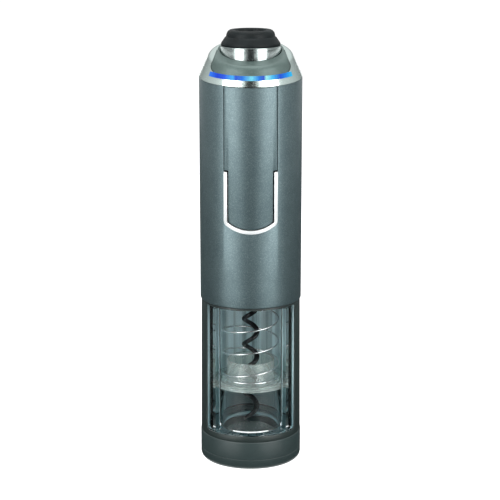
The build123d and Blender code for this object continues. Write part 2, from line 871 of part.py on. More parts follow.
def chassis():
    body = disc(chassis_r, deck_low_z, deck_high_z)
    for low in (motor_low_z, chassis_ring_high_z):
        body += ring(chassis_r, motor_r + motor_fit, low, low + chassis_ring_height)
    for inner, outer in ((-post_outer_x, -post_inner_x), (post_inner_x, post_outer_x)):
        body += block(inner, outer, -post_half_y, post_half_y, motor_low_z, post_high_z)
    seats = [(x, y, cell_r, seat_wall) for x, y in cell_places()]
    seats.append((0, pump_y, pump_motor_r, pump_seat_wall))
    for x, y, radius, wall in seats:
        body += disc(radius + wall, deck_high_z, seat_top_z, x, y)
    for x, y, radius, wall in seats:
        body -= disc(radius + seat_fit, deck_high_z, beyond_top_z, x, y)
    body -= block(-far, far, -far, chassis_front_y, 0, beyond_top_z)
    body &= disc(chassis_r, 0, beyond_top_z)
    for x in deck_screw_places():
        body -= disc(deck_screw_r, deck_screw_low_z - running_clearance, beyond_top_z, x, 0)
    return body - disc(wire_hole_r, deck_low_z - cut_past, deck_high_z + cut_past, wire_hole_x, wire_hole_y)


def deck_screws():
    screws = []
    for x in deck_screw_places():
        shank = disc(deck_screw_r, deck_screw_low_z, head_deck_high_z, x, 0)
        head = disc(deck_screw_head_r, head_deck_high_z, head_deck_high_z + deck_screw_head, x, 0)
        screws.append(shank + head)
    return screws


def control_board():
    """Board with its control chip and a choke."""
    face_y = chassis_front_y - board_thickness
    board = block(-board_half, board_half, face_y, chassis_front_y, board_low_z, board_high_z)
    chip = block(-chip_half, chip_half, face_y - chip_height, face_y, chip_low_z, chip_high_z)
    choke = block(choke_x0, choke_x1, face_y - choke_height, face_y, choke_low_z, choke_high_z)
    return [board, chip, choke]


def panel_switch():
    face_y = chassis_front_y - board_thickness
    body = block(-switch_half, switch_half, face_y - switch_height, face_y,
                 panel_switch_z - switch_half, panel_switch_z + switch_half)
    button_y = face_y - switch_height
    return body + rod_along_y(switch_button_r, switch_button_height, 0, button_y, panel_switch_z)


def panel_spring():
    """Torsion spring between the hinge ears, its leg pointing down behind the panel."""
    path = Helix(hinge_spring_pitch, hinge_spring_length, hinge_spring_r)
    section = Plane(path @ 0, z_dir=path % 0) * Circle(hinge_spring_wire / 2)
    wound = Rot(0, 0, -90) * sweep(section, path=path, is_frenet=True)
    leg = rod_along_x(hinge_spring_wire / 2, hinge_spring_leg, 0, -hinge_spring_r, 0)
    return Pos(hinge_spring_x, panel_hinge_y, panel_hinge_z) * Rot(0, 90, 0) * (wound + leg)


def battery_cells():
    cells = []
    for x, y in cell_places():
        can = disc(cell_r, cell_low_z, cell_high_z - cell_nub, x, y)
        cells.append(can + disc(cell_nub_r, cell_high_z - cell_nub, cell_high_z, x, y))
    return cells


def battery_contacts():
    """A pad under each cell and a strip that joins their tops."""
    pads = [disc(contact_pad_r, deck_high_z, cell_low_z, x, y) for x, y in cell_places()]
    strip = block(-contact_bridge_half_x, contact_bridge_half_x, cell_y - contact_bridge_half_y,
                  cell_y + contact_bridge_half_y, cell_high_z, cell_high_z + contact_thickness)
    return pads + [strip]


# ---- Vacuum pump ----

def pump_motor():
    can = disc(pump_motor_r, pump_motor_low_z, pump_motor_high_z, 0, pump_y)
    can -= disc(pump_motor_r - pump_motor_wall, pump_motor_low_z + pump_motor_wall,
                pump_motor_high_z - pump_motor_wall, 0, pump_y)
    return can - disc(pump_shaft_hole_r, pump_rotor_high_z, beyond_top_z, 0, pump_y)


def pump_rotor():
    shaft = disc(pump_shaft_r, pump_shaft_low_z, pump_shaft_high_z, 0, pump_y)
    return shaft + disc(pump_rotor_r, pump_rotor_low_z, pump_rotor_high_z, 0, pump_y)


def on_crank_axis(solid):
    """Tilts a solid made upright on the origin into line with the crank pin."""
    return Pos(0, pump_y, wobble_centre_z) * Rot(wobble_tilt, 0, 0) * solid


def pump_eccentric():
    """Hub on the pump's shaft with the tilted crank pin on top."""
    hub = disc(crank_r, crank_low_z, crank_high_z, 0, pump_y)
    hub -= disc(pump_shaft_r, 0, crank_bore_high_z, 0, pump_y)
    pin = on_crank_axis(disc(crank_pin_r, -crank_pin_half, crank_pin_half))
    return hub + (pin - disc(crank_r, 0, crank_bore_high_z + pin_past, 0, pump_y))


def pump_wobble_plate():
    plate = disc(wobble_hub_r, wobble_hub_low, wobble_hub_high)
    arm = block(wobble_arm_inner, wobble_arm_reach, -wobble_arm_half, wobble_arm_half, wobble_arm_low,
                wobble_arm_high)
    arm += disc(wobble_arm_end_r, wobble_arm_low, wobble_hub_high, wobble_arm_reach)
    for i in range(3):
        plate += Rot(0, 0, 120 * i) * arm
    plate -= disc(crank_pin_r + running_clearance, wobble_hub_low - cut_past, wobble_bore_high)
    return on_crank_axis(plate)


def pump_frame():
    wall = ring(pump_r, pump_r - pump_wall, pump_motor_high_z, pump_frame_high_z, 0, pump_y)
    foot_top = pump_motor_high_z + pump_foot_height
    return wall + ring(pump_r, pump_foot_bore_r, pump_motor_high_z, foot_top, 0, pump_y)


def pump_diaphragm():
    """Rubber sheet with a cup over the end of each wobble arm, seen from above."""
    sheet = disc(pump_r, pump_frame_high_z, pump_cover_low_z, 0, pump_y)
    cup = disc(cup_r, pump_frame_high_z + cup_floor, pump_cover_low_z + cut_past, wobble_arm_reach)
    for i in range(3):
        sheet -= Pos(0, pump_y, 0) * Rot(0, 0, 120 * i) * cup
    return sheet


def pump_cover():
    cover = disc(pump_r, pump_cover_low_z, pump_cover_high_z, 0, pump_y)
    cover += disc(spout_r, pump_cover_high_z, spout_high_z, 0, pump_y)
    return cover - disc(spout_bore_r, pump_cover_high_z - cut_past, beyond_top_z, 0, pump_y)


def air_tube():
    return ring(air_tube_r, air_tube_bore_r, pump_cover_high_z + bearing_recess, head_deck_low_z, 0, pump_y)


# ---- Vacuum head ----

def hinge_tab(side):
    """Tab under the head deck that holds one of the panel's pins."""
    inner, outer = sorted((side * tab_inner_x, side * tab_outer_x))
    tab = block(inner, outer, tab_front_y, tab_back_y, tab_low_z, head_deck_low_z)
    return tab - rod_along_x(panel_pin_r + panel_pin_clearance, tab_outer_x, 0,
                             panel_hinge_y, panel_hinge_z, side)


def head_guide():
    """Deck across the chassis posts with the boss that guides the head's stem."""
    deck = disc(head_deck_r, head_deck_low_z, head_deck_high_z)
    for x, y in cell_places():
        deck -= disc(cell_r + deck_cell_gap, 0, beyond_top_z, x, y)
    deck += disc(guide_boss_r, head_deck_high_z, guide_boss_high_z)
    deck -= disc(stem_r + running_clearance, head_deck_low_z + guide_boss_floor, beyond_top_z)
    deck += ring(spout_r, spout_bore_r, deck_spout_low_z, head_deck_low_z, 0, pump_y)
    deck += hinge_tab(-1)
    deck += hinge_tab(1)
    for x in deck_screw_places():
        deck -= disc(deck_screw_r, 0, beyond_top_z, x, 0)
    return deck


def stem_seal():
    return Pos(0, 0, guide_boss_high_z + seal_wire_r) * Torus(seal_r, seal_wire_r)


def head_spring():
    return coil(head_spring_r, head_spring_wire, head_spring_pitch, head_deck_high_z + head_spring_low_gap,
                carrier_low_z - head_spring_high_gap, 0)


def head_switch():
    body = block(head_switch_x0, head_switch_x1, -head_switch_half_y, head_switch_half_y,
                 head_deck_high_z, head_switch_high_z)
    return body + disc(head_plunger_r, head_switch_high_z, head_plunger_high_z,
                       (head_switch_x0 + head_switch_x1) / 2)


def head_carrier():
    """Disc inside the collar with the hollow stem that the air goes through."""
    body = disc(collar_r - collar_wall - carrier_fit, carrier_low_z, collar_high_z)
    body += disc(stem_r, stem_low_z, carrier_low_z)
    return body - disc(stem_bore_r, 0, beyond_top_z)


def head_collar():
    return ring(collar_r, collar_r - collar_wall, collar_low_z, collar_high_z)


def rubber_nozzle():
    foot = collar_high_z
    lip = (nozzle_lip_r, 0, foot + nozzle_lip_z)
    crown = (nozzle_crown_r, 0, foot + nozzle_crown_z)
    top = (nozzle_top_r, 0, nozzle_top_z)
    side = Spline([lip, (nozzle_waist_r, 0, foot + nozzle_waist_z),
                   (nozzle_shoulder_r, 0, foot + nozzle_shoulder_z), crown])
    shoulder = ThreePointArc(crown, (nozzle_crown_mid_r, 0, foot + nozzle_crown_mid_z), top)
    rest = Polyline([top, (nozzle_mouth_r + nozzle_mouth_chamfer, 0, nozzle_top_z),
                     (nozzle_mouth_r, 0, nozzle_top_z - nozzle_mouth_chamfer),
                     (nozzle_mouth_r - nozzle_mouth_taper, 0, foot + nozzle_bowl_z),
                     (nozzle_port_r, 0, foot + nozzle_floor_z), (nozzle_port_r, 0, foot),
                     (nozzle_foot_r, 0, foot), lip])
    return revolve(make_face(side + shoulder + rest), Axis.Z)


# ---- Foil cutter ----

def foil_cutter_body():
    outline = [(cutter_bore_r + cutter_mouth, 0), (cutter_r - cutter_edge, 0), (cutter_r, cutter_edge),
               (cutter_r, cutter_groove_z - cutter_groove), (cutter_r - cutter_groove, cutter_groove_z),
               (cutter_r, cutter_groove_z + cutter_groove), (cutter_r, sleeve_bottom_z),
               (cutter_socket_r, sleeve_bottom_z), (cutter_socket_r, cutter_socket_z),
               (cutter_bore_r, cutter_socket_z), (cutter_bore_r, cutter_mouth)]
    body = turned(outline)
    pocket = disc(wheel_r + wheel_gap, wheel_z - wheel_thickness, wheel_z + wheel_thickness, wheel_orbit)
    pocket += disc(wheel_pin_r, wheel_pin_low_z, wheel_pin_high_z, wheel_orbit)
    for angle in wheel_angles:
        body -= Rot(0, 0, angle) * pocket
    return body


def cutter_pins():
    pin = disc(wheel_pin_r, wheel_pin_low_z, wheel_pin_high_z, wheel_orbit)
    return [Rot(0, 0, angle) * pin for angle in wheel_angles]


def cutter_wheel(angle):
    half = wheel_thickness / 2
    bore = wheel_pin_r + running_clearance
    outline = [(bore, wheel_z - half), (wheel_r - wheel_bevel, wheel_z - half), (wheel_r, wheel_z),
               (wheel_r - wheel_bevel, wheel_z + half), (bore, wheel_z + half)]
    return Rot(0, 0, angle) * Pos(wheel_orbit, 0, 0) * turned(outline)


# ---- Files ----

def write(node, shape):
    """One STEP file for a node; a list becomes a group of separate solids."""
    solids = []
    for piece in shape if isinstance(shape, list) else [shape]:
        solids += piece.solids()
    export_step(Compound(children=solids) if len(solids) > 1 else solids[0], f"parts/{node}.step")


def main():
    os.makedirs("parts", exist_ok=True)
    makers = [main_housing, panel_trim, press_panel, top_cap, chrome_bezel, light_guides, led_board,
              charge_contacts, window_sleeve, clear_tube, stop_tube, neck_guide, guide_spring, worm, worm_hub,
              ring_gear, gearbox_screws, front_plate, spindle_bearing, spindle, sun_carrier, motor_pinion,
              motor_plate, motor_can, motor_rotor, motor_end_cap, chassis, deck_screws, control_board,
              panel_switch, panel_spring, battery_cells, battery_contacts, pump_motor, pump_rotor,
              pump_eccentric, pump_wobble_plate, pump_frame, pump_diaphragm, pump_cover, air_tube, head_guide,
              stem_seal, head_spring, head_switch, head_carrier, head_collar, rubber_nozzle, foil_cutter_body,
              cutter_pins]
    for maker in makers:
        write(maker.__name__, maker())
    for i, place in enumerate(planet_places(), 1):
        write(f"output_planet_{i}", planet(output_planet_low_z, place))
        write(f"input_planet_{i}", planet(input_planet_low_z, place))
    for i, angle in enumerate(wheel_angles, 1):
        write(f"cutter_wheel_{i}", cutter_wheel(angle))


main()
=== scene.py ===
import json
import math
import bpy
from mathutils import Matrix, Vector


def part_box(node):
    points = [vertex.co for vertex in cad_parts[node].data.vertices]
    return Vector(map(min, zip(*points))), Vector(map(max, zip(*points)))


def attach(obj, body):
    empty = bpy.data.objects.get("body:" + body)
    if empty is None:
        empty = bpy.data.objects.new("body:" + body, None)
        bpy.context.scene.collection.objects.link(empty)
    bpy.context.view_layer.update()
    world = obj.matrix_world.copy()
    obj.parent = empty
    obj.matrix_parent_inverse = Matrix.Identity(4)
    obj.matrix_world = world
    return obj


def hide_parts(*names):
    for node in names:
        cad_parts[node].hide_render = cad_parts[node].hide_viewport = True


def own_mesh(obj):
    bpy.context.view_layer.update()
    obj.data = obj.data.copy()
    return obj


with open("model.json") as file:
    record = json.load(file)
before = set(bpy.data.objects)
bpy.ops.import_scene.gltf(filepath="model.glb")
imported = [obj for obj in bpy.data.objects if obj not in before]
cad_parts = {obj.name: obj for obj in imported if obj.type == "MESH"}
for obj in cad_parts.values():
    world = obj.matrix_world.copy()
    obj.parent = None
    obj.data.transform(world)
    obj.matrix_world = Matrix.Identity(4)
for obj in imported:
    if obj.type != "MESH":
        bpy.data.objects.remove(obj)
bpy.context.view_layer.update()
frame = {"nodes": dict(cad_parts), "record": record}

mm = 0.001
print("frame loaded:", len(frame["nodes"]), "nodes")


# sRGB hex text to a linear colour
def hexColour(code):
    channels = [int(code[i:i + 2], 16) / 255 for i in (1, 3, 5)]
    linear = [c / 12.92 if c <= 0.04045 else ((c + 0.055) / 1.055) ** 2.4 for c in channels]
    return (*linear, 1.0)


# Adds one node, with its settings (socket or property) and what feeds its sockets
def addNode(material, kind, settings=None, links=None):
    made = material.node_tree.nodes.new(kind)
    for name, value in (settings or {}).items():
        if isinstance(name, int) or name in made.inputs:
            made.inputs[name].default_value = value
        else:
            setattr(made, name, value)
    for name, source in (links or {}).items():
        material.node_tree.links.new(source, made.inputs[name])
    return made


# An empty material, and the object coordinates its patterns take, stretched where they run one way
def newMaterial(name, stretch=(1, 1, 1)):
    material = bpy.data.materials.new(name)
    material.use_nodes = True
    material.node_tree.nodes.clear()
    where = addNode(material, "ShaderNodeTexCoord")
    place = addNode(material, "ShaderNodeMapping", {"Scale": stretch}, {"Vector": where.outputs["Object"]})
    return material, place


def finishMaterial(material, shader):
    addNode(material, "ShaderNodeOutputMaterial", links={"Surface": shader.outputs[0]})
    return material


# Noise lies mostly between 0.3 and 0.7: this range spreads it from low to high
def noiseTo(low, high):
    return {"From Min": 0.3, "From Max": 0.7, "To Min": low, "To Max": high}


# Noise that repeats about every size millimetres
def noiseOf(size, detail=2.0, roughness=0.5):
    return {"Scale": 1 / (size * mm), "Detail": detail, "Roughness": roughness}


# Mixes two colours
def mixOf(first, second):
    return {"data_type": "RGBA", 6: hexColour(first), 7: hexColour(second)}


# Metallic grey lacquer sprayed on moulded ABS: aluminium flake under a satin clear coat.
# The flake is about 0.05 mm and is drawn ten times coarser, or it would not show.
def sprayedMetallicAbs(name, look):
    material, place = newMaterial(name)
    at = {"Vector": place.outputs[0]}
    cloud = addNode(material, "ShaderNodeTexNoise", noiseOf(9.0, 3.0), at)
    flake = addNode(material, "ShaderNodeTexVoronoi", {"Scale": 1 / (look["flake"] * mm)}, at)
    draw = addNode(material, "ShaderNodeSeparateColor", links={"Color": flake.outputs["Color"]})
    peel = addNode(material, "ShaderNodeTexNoise", noiseOf(1.4, 1.0), at)
    share = addNode(material, "ShaderNodeMapRange", noiseTo(0, 1), {"Value": cloud.outputs[0]})
    shade = addNode(material, "ShaderNodeMix", mixOf(look["dark"], look["light"]), {0: share.outputs[0]})
    spark = addNode(material, "ShaderNodeMapRange",
                    {"From Min": 0.55, "From Max": 1.0, "To Min": 0, "To Max": look["sparkle"]},
                    {"Value": draw.outputs[0]})
    colour = addNode(material, "ShaderNodeMix", {"data_type": "RGBA", 7: hexColour(look["spark"])},
                     {0: spark.outputs[0], 6: shade.outputs[2]})
    rough = addNode(material, "ShaderNodeMapRange",
                    {"From Min": 0, "From Max": 1, "To Min": look["roughness"] - 0.05,
                     "To Max": look["roughness"] + 0.05}, {"Value": draw.outputs[1]})
    relief = addNode(material, "ShaderNodeBump", {"Strength": 0.12, "Distance": 0.05 * mm},
                     {"Height": peel.outputs[0]})
    shader = addNode(material, "ShaderNodeBsdfPrincipled",
                     {"Metallic": look["metallic"], "Coat Weight": 0.25, "Coat Roughness": 0.3},
                     {"Base Color": colour.outputs[2], "Roughness": rough.outputs[0],
                      "Normal": relief.outputs[0]})
    return finishMaterial(material, shader)


# Painted light in a bore, inside look["boreRadius"]: the bore is painted pale to stand in for the light
# inside it, streaked along Z, and painted darker low down as shade
def paintLitBore(material, place, look, outside):
    drawnPlace = addNode(material, "ShaderNodeMapping", {"Scale": (1, 1, 0.01)}, {"Vector": place.outputs[0]})
    drawn = addNode(material, "ShaderNodeTexNoise", noiseOf(3.0, 3.0, 0.6), {"Vector": drawnPlace.outputs[0]})
    streaks = addNode(material, "ShaderNodeMapRange", {"From Min": 0.42, "From Max": 0.62},
                      {"Value": drawn.outputs[0]})
    bore = addNode(material, "ShaderNodeMix", mixOf(look["paintedBoreLight"], look["streak"]), {0: streaks.outputs[0]})
    axes = addNode(material, "ShaderNodeSeparateXYZ", links={0: place.outputs[0]})
    # painted shade: the bore darkens low down, where less light reaches
    raised = addNode(material, "ShaderNodeMapRange",
                     {"From Min": look["lowFrom"] * mm, "From Max": look["lowTo"] * mm},
                     {"Value": axes.outputs[2]})
    shaded = addNode(material, "ShaderNodeMix", {"data_type": "RGBA", 6: hexColour(look["paintedBoreShade"])},
                     {0: raised.outputs[0], 7: bore.outputs[2]})
    flat = addNode(material, "ShaderNodeMapping", {"Scale": (1, 1, 0)}, {"Vector": place.outputs[0]})
    reach = addNode(material, "ShaderNodeVectorMath", {"operation": "LENGTH"}, {0: flat.outputs[0]})
    isOutside = addNode(material, "ShaderNodeMapRange",
                        {"From Min": (look["boreRadius"] - 0.1) * mm,
                         "From Max": (look["boreRadius"] + 0.1) * mm},
                        {"Value": reach.outputs["Value"]})
    return addNode(material, "ShaderNodeMix", {"data_type": "RGBA"},
                   {0: isOutside.outputs[0], 6: shaded.outputs[2], 7: outside.outputs[2]})


# Clouded tone with a fine grain in gloss and relief: process holds what its kind has in common
def grainedMaterial(name, process, look):
    look = {**process, **look}
    material, place = newMaterial(name, look["stretch"])
    at = {"Vector": place.outputs[0]}
    grain = addNode(material, "ShaderNodeTexNoise", noiseOf(look["grain"], look["detail"], look["edge"]), at)
    cloud = grain
    if look["cloud"]:
        cloud = addNode(material, "ShaderNodeTexNoise", noiseOf(look["cloud"]), at)
    share = addNode(material, "ShaderNodeMapRange", noiseTo(0, 1), {"Value": cloud.outputs[0]})
    tone = addNode(material, "ShaderNodeMix", mixOf(look["dark"], look["light"]), {0: share.outputs[0]})
    # the bore is painted pale as the light inside the window, and darker low down as painted shade
    if "paintedBoreLight" in look:
        tone = paintLitBore(material, place, look, tone)
    rough = addNode(material, "ShaderNodeMapRange",
                    noiseTo(look["roughness"] - look["span"], look["roughness"] + look["span"]),
                    {"Value": grain.outputs[0]})
    relief = addNode(material, "ShaderNodeBump", {"Strength": look["relief"], "Distance": look["depth"] * mm},
                     {"Height": grain.outputs[0]})
    shader = addNode(material, "ShaderNodeBsdfPrincipled", look["shader"],
                     {"Base Color": tone.outputs[2], "Roughness": rough.outputs[0],
                      "Normal": relief.outputs[0]})
    return finishMaterial(material, shader)


# ABS and its like as they leave the mould, lightly spark-eroded
mouldedAbs = {"stretch": (1, 1, 1), "grain": 0.5, "detail": 3.0, "edge": 0.6, "cloud": 12.0, "span": 0.06,
              "relief": 0.25, "depth": 0.03, "shader": {"IOR": 1.54}}
# Metal worked in one direction: turned, brushed or drawn, the lines 0.1 mm apart drawn at 0.3 mm
workedMetal = {"stretch": (1, 1, 1), "grain": 0.4, "detail": 2.0, "edge": 0.6, "cloud": None, "span": 0.05,
               "relief": 0.1, "depth": 0.01, "shader": {"Metallic": 1.0}}
# Rubber or silicone from the mould: soft, with a fine texture
mouldedRubber = {"stretch": (1, 1, 1), "grain": 0.6, "detail": 3.0, "edge": 0.6, "cloud": 5.0, "span": 0.05,
                 "relief": 0.2, "depth": 0.02}
# Black fluoropolymer coating baked on steel wire: deep black and glossy, with a slight orange peel
bakedCoating = {"stretch": (1, 1, 1), "grain": 0.8, "detail": 2.0, "edge": 0.5, "cloud": None, "span": 0.03,
                "relief": 0.15, "depth": 0.02,
                "shader": {"Coat Weight": 0.25, "Coat Roughness": 0.06, "IOR": 1.45,
                           "Specular IOR Level": 0.2}}


# Chrome electroplated on plastic: bright, with the faint waviness of the moulding under it
def platedChrome(name, look):
    material, place = newMaterial(name)
    at = {"Vector": place.outputs[0]}
    wave = addNode(material, "ShaderNodeTexNoise", noiseOf(16.0, 1.0), at)
    haze = addNode(material, "ShaderNodeTexNoise", noiseOf(2.5, 3.0), at)
    rough = addNode(material, "ShaderNodeMapRange", noiseTo(look["roughness"] * 0.8, look["roughness"] * 1.2),
                    {"Value": haze.outputs[0]})
    relief = addNode(material, "ShaderNodeBump", {"Strength": 0.1, "Distance": 0.05 * mm},
                     {"Height": wave.outputs[0]})
    shader = addNode(material, "ShaderNodeBsdfPrincipled",
                     {"Base Color": hexColour(look["colour"]), "Metallic": look["metallic"]},
                     {"Roughness": rough.outputs[0], "Normal": relief.outputs[0]})
    return finishMaterial(material, shader)


# Clear polycarbonate, injection moulded: almost clean, with a slow ripple from the mould.
# Its index is under the real 1.58, so that thin walls don't mirror the whole pale room.
def clearPolycarbonate(name, look):
    material, place = newMaterial(name, (1, 1, 0.25))
    at = {"Vector": place.outputs[0]}
    ripple = addNode(material, "ShaderNodeTexNoise", noiseOf(look["ripple"], 1.0), at)
    haze = addNode(material, "ShaderNodeTexNoise", noiseOf(3.0), at)
    rough = addNode(material, "ShaderNodeMapRange", noiseTo(look["roughness"] * 0.6, look["roughness"] * 1.6),
                    {"Value": haze.outputs[0]})
    relief = addNode(material, "ShaderNodeBump", {"Strength": look["waviness"], "Distance": 0.1 * mm},
                     {"Height": ripple.outputs[0]})
    shader = addNode(material, "ShaderNodeBsdfPrincipled",
                     {"Base Color": hexColour(look["colour"]), "IOR": look["ior"],
                      "Transmission Weight": look["clear"]},
                     {"Roughness": rough.outputs[0], "Normal": relief.outputs[0]})
    # lamps shine straight through, or what is behind would be black
    clearForLamps = addNode(material, "ShaderNodeBsdfTransparent", {"Color": hexColour(look["colour"])})
    rays = addNode(material, "ShaderNodeLightPath")
    mixed = addNode(material, "ShaderNodeMixShader", links={
        0: rays.outputs["Is Shadow Ray"], 1: shader.outputs[0], 2: clearForLamps.outputs[0]})
    return finishMaterial(material, mixed)


# Diffusing acrylic light guide, lit from below by three lamps: deep blue falling to pale cyan at each lamp
def litAcrylic(name, look):
    material, place = newMaterial(name)
    axes = addNode(material, "ShaderNodeSeparateXYZ", links={0: place.outputs[0]})
    reach = look["halfWidth"] * mm
    along = addNode(material, "ShaderNodeMapRange", {"From Min": -reach, "From Max": reach},
                    {"Value": axes.outputs[0]})
    ramp = addNode(material, "ShaderNodeValToRGB", links={0: along.outputs[0]})
    stops = ramp.color_ramp.elements
    stops[0].position, stops[0].color = 0.0, hexColour(look["glow"][0][1])
    stops[1].position, stops[1].color = 1.0, hexColour(look["glow"][-1][1])
    for position, code in look["glow"][1:-1]:
        stop = stops.new(position)
        stop.color = hexColour(code)
    speck = addNode(material, "ShaderNodeTexNoise", noiseOf(0.7), {"Vector": place.outputs[0]})
    power = addNode(material, "ShaderNodeMapRange", noiseTo(look["power"] * 0.85, look["power"] * 1.15),
                    {"Value": speck.outputs[0]})
    shader = addNode(material, "ShaderNodeBsdfPrincipled",
                     {"Base Color": hexColour(look["unlit"]), "Roughness": 0.35, "IOR": 1.49,
                      "Specular IOR Level": 0.25},
                     {"Emission Color": ramp.outputs[0], "Emission Strength": power.outputs[0]})
    return finishMaterial(material, shader)


materials = {
    "housing_paint": sprayedMetallicAbs("satinMetallicLacquerOnAbs", {
        "dark": "#54666a", "light": "#5b6d70", "spark": "#93a5a8", "sparkle": 0.3, "flake": 0.3,
        "roughness": 0.42, "metallic": 0.7}),
    "cap_paint": sprayedMetallicAbs("capMetallicLacquerOnAbs", {
        "dark": "#52635f", "light": "#596a67", "spark": "#82928f", "sparkle": 0.25, "flake": 0.3,
        "roughness": 0.52, "metallic": 0.6}),
    # dark moulded ABS outside; its bore is painted pale to stand in for the light inside the window, and
    # painted darker low down as shade
    "sleeve_plastic": grainedMaterial("darkMouldedAbsPaintedLitBore", mouldedAbs, {
        "dark": "#26302f", "light": "#2b3534", "roughness": 0.4, "paintedBoreLight": "#c9e2e8", "streak": "#839aa0",
        "paintedBoreShade": "#6f8c93", "lowFrom": 22, "lowTo": 52, "boreRadius": 26.4}),
    "cutter_plastic": grainedMaterial("baseRingMouldedAbs", mouldedAbs, {
        "dark": "#303d3d", "light": "#354242", "roughness": 0.4}),
    "trim_chrome": platedChrome("brightChromePlateTrim", {
        "colour": "#f6f9f9", "roughness": 0.42, "metallic": 0.35}),
    "bezel_chrome": platedChrome("satinChromePlateBezel", {
        "colour": "#dbeae6", "roughness": 0.2, "metallic": 1.0}),
    "light_guide": litAcrylic("litDiffusingAcrylic", {
        "halfWidth": 21.6, "power": 0.85, "unlit": "#06183a",
        "glow": [(0.0, "#2a7fff"), (0.09, "#0a3fe0"), (0.18, "#0a55ee"), (0.28, "#1fb4ff"),
                 (0.315, "#0a4fd8"), (0.4, "#0a78ee"), (0.51, "#86ecff"), (0.6, "#0c80ec"),
                 (0.66, "#0a46cc"), (0.69, "#a8fbf6"), (0.76, "#2ac4f6"), (0.86, "#0a48dc"),
                 (0.93, "#1088f0"), (1.0, "#2cc8ff")]}),
    "clear_plastic": clearPolycarbonate("clearPolycarbonate", {
        "colour": "#fafcfc", "roughness": 0.015, "ior": 1.22, "ripple": 14.0, "waviness": 0.12,
        "clear": 1.0}),
    "clear_guide": clearPolycarbonate("clearPolycarbonateGuide", {
        "colour": "#e9f2ef", "roughness": 0.06, "ior": 1.4, "ripple": 8.0, "waviness": 0.2, "clear": 0.93}),
    "spring_steel": grainedMaterial("drawnSpringSteel", workedMetal, {
        "dark": "#c4c7c9", "light": "#e4e6e7", "roughness": 0.22}),
    "worm_coating": grainedMaterial("bakedBlackFluoropolymer", bakedCoating, {
        "dark": "#08090a", "light": "#0e1011", "roughness": 0.16}),
    "hub_metal": grainedMaterial("turnedHubSteel", workedMetal, {
        "dark": "#6d7174", "light": "#9ea2a4", "roughness": 0.25, "grain": 0.5, "relief": 0.2,
        "stretch": (0.1, 0.1, 1)}),
    "gear_nylon": grainedMaterial("mouldedAcetal", mouldedAbs, {
        "dark": "#d9d6cb", "light": "#e4e1d7", "roughness": 0.4, "grain": 0.6}),
    "screw_steel": grainedMaterial("zincPlatedSteel", workedMetal, {
        "dark": "#9a9c9e", "light": "#b9bbbd", "roughness": 0.35}),
    "inner_plastic": grainedMaterial("blackMouldedAbs", mouldedAbs, {
        "dark": "#1a1c1d", "light": "#202223", "roughness": 0.45, "grain": 0.7}),
    "bearing_bronze": grainedMaterial("sinteredBronze", workedMetal, {
        "dark": "#8a6a3c", "light": "#a8854f", "roughness": 0.45, "grain": 0.3, "relief": 0.3}),
    "shaft_steel": grainedMaterial("groundShaftSteel", workedMetal, {
        "dark": "#a6a9ab", "light": "#c3c6c8", "roughness": 0.28, "grain": 0.3, "relief": 0.15,
        "stretch": (0.1, 0.1, 1)}),
    "motor_steel": grainedMaterial("zincPlatedPressedSteel", workedMetal, {
        "dark": "#93979a", "light": "#a9adb0", "roughness": 0.4, "grain": 1.5, "stretch": (1, 1, 0.3)}),
    "switch_black": grainedMaterial("switchMouldedNylon", mouldedAbs, {
        "dark": "#121314", "light": "#18191a", "roughness": 0.5}),
    "board_green": grainedMaterial("solderMaskOnFibreglass", mouldedAbs, {
        "dark": "#0f4a2a", "light": "#155a34", "roughness": 0.35, "grain": 1.2}),
    "cell_wrap": grainedMaterial("shrinkWrappedCell", mouldedAbs, {
        "dark": "#1c4a86", "light": "#20569a", "roughness": 0.3, "grain": 2.0}),
    "contact_plate": grainedMaterial("goldPlatedStrip", workedMetal, {
        "dark": "#b9974c", "light": "#d6b767", "roughness": 0.25, "stretch": (1, 0.2, 1)}),
    "soft_rubber": grainedMaterial("paleSiliconeRubber", mouldedRubber, {
        "dark": "#c9c8c2", "light": "#d6d5cf", "roughness": 0.5, "shader": {"IOR": 1.5}}),
    "nozzle_rubber": grainedMaterial("blackNitrileRubber", mouldedRubber, {
        "dark": "#0b1112", "light": "#10181a", "roughness": 0.5,
        "shader": {"IOR": 1.5, "Specular IOR Level": 0.22}}),
    "collar_steel": grainedMaterial("roundBrushedStainless", workedMetal, {
        "dark": "#a2adab", "light": "#bfcac8", "roughness": 0.2, "grain": 0.35, "relief": 0.25,
        "stretch": (0.05, 0.05, 1)}),
    "cutter_steel": grainedMaterial("groundCutterSteel", workedMetal, {
        "dark": "#b9bcbe", "light": "#d5d8da", "roughness": 0.22, "grain": 0.3, "relief": 0.2}),
}
slotOf = {entry["node"]: entry["material_slot"] for entry in frame["record"]["subparts"]}
for nodeName, nodeObject in frame["nodes"].items():
    nodeObject.data.materials.clear()
    nodeObject.data.materials.append(materials[slotOf[nodeName]])
print("materials made:", len(materials))


# Radius, foot and top of a round CAD node, in millimetres
def roundSize(node):
    low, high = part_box(node)
    return (high.x - low.x) / 2 / mm, low.z / mm, high.z / mm


def deselectAll():
    if bpy.context.object and bpy.context.object.mode != "OBJECT":
        bpy.ops.object.mode_set(mode="OBJECT")
    bpy.ops.object.select_all(action="DESELECT")


def makeActive(piece):
    deselectAll()
    piece.select_set(True)
    bpy.context.view_layer.objects.active = piece


def applyPlace():
    bpy.ops.object.transform_apply(location=True, rotation=True, scale=True)


def closeSeams():
    bpy.ops.mesh.select_all(action="SELECT")
    bpy.ops.mesh.remove_doubles(threshold=0.001 * mm)
    bpy.ops.mesh.normals_make_consistent(inside=False)
    bpy.ops.object.mode_set(mode="OBJECT")


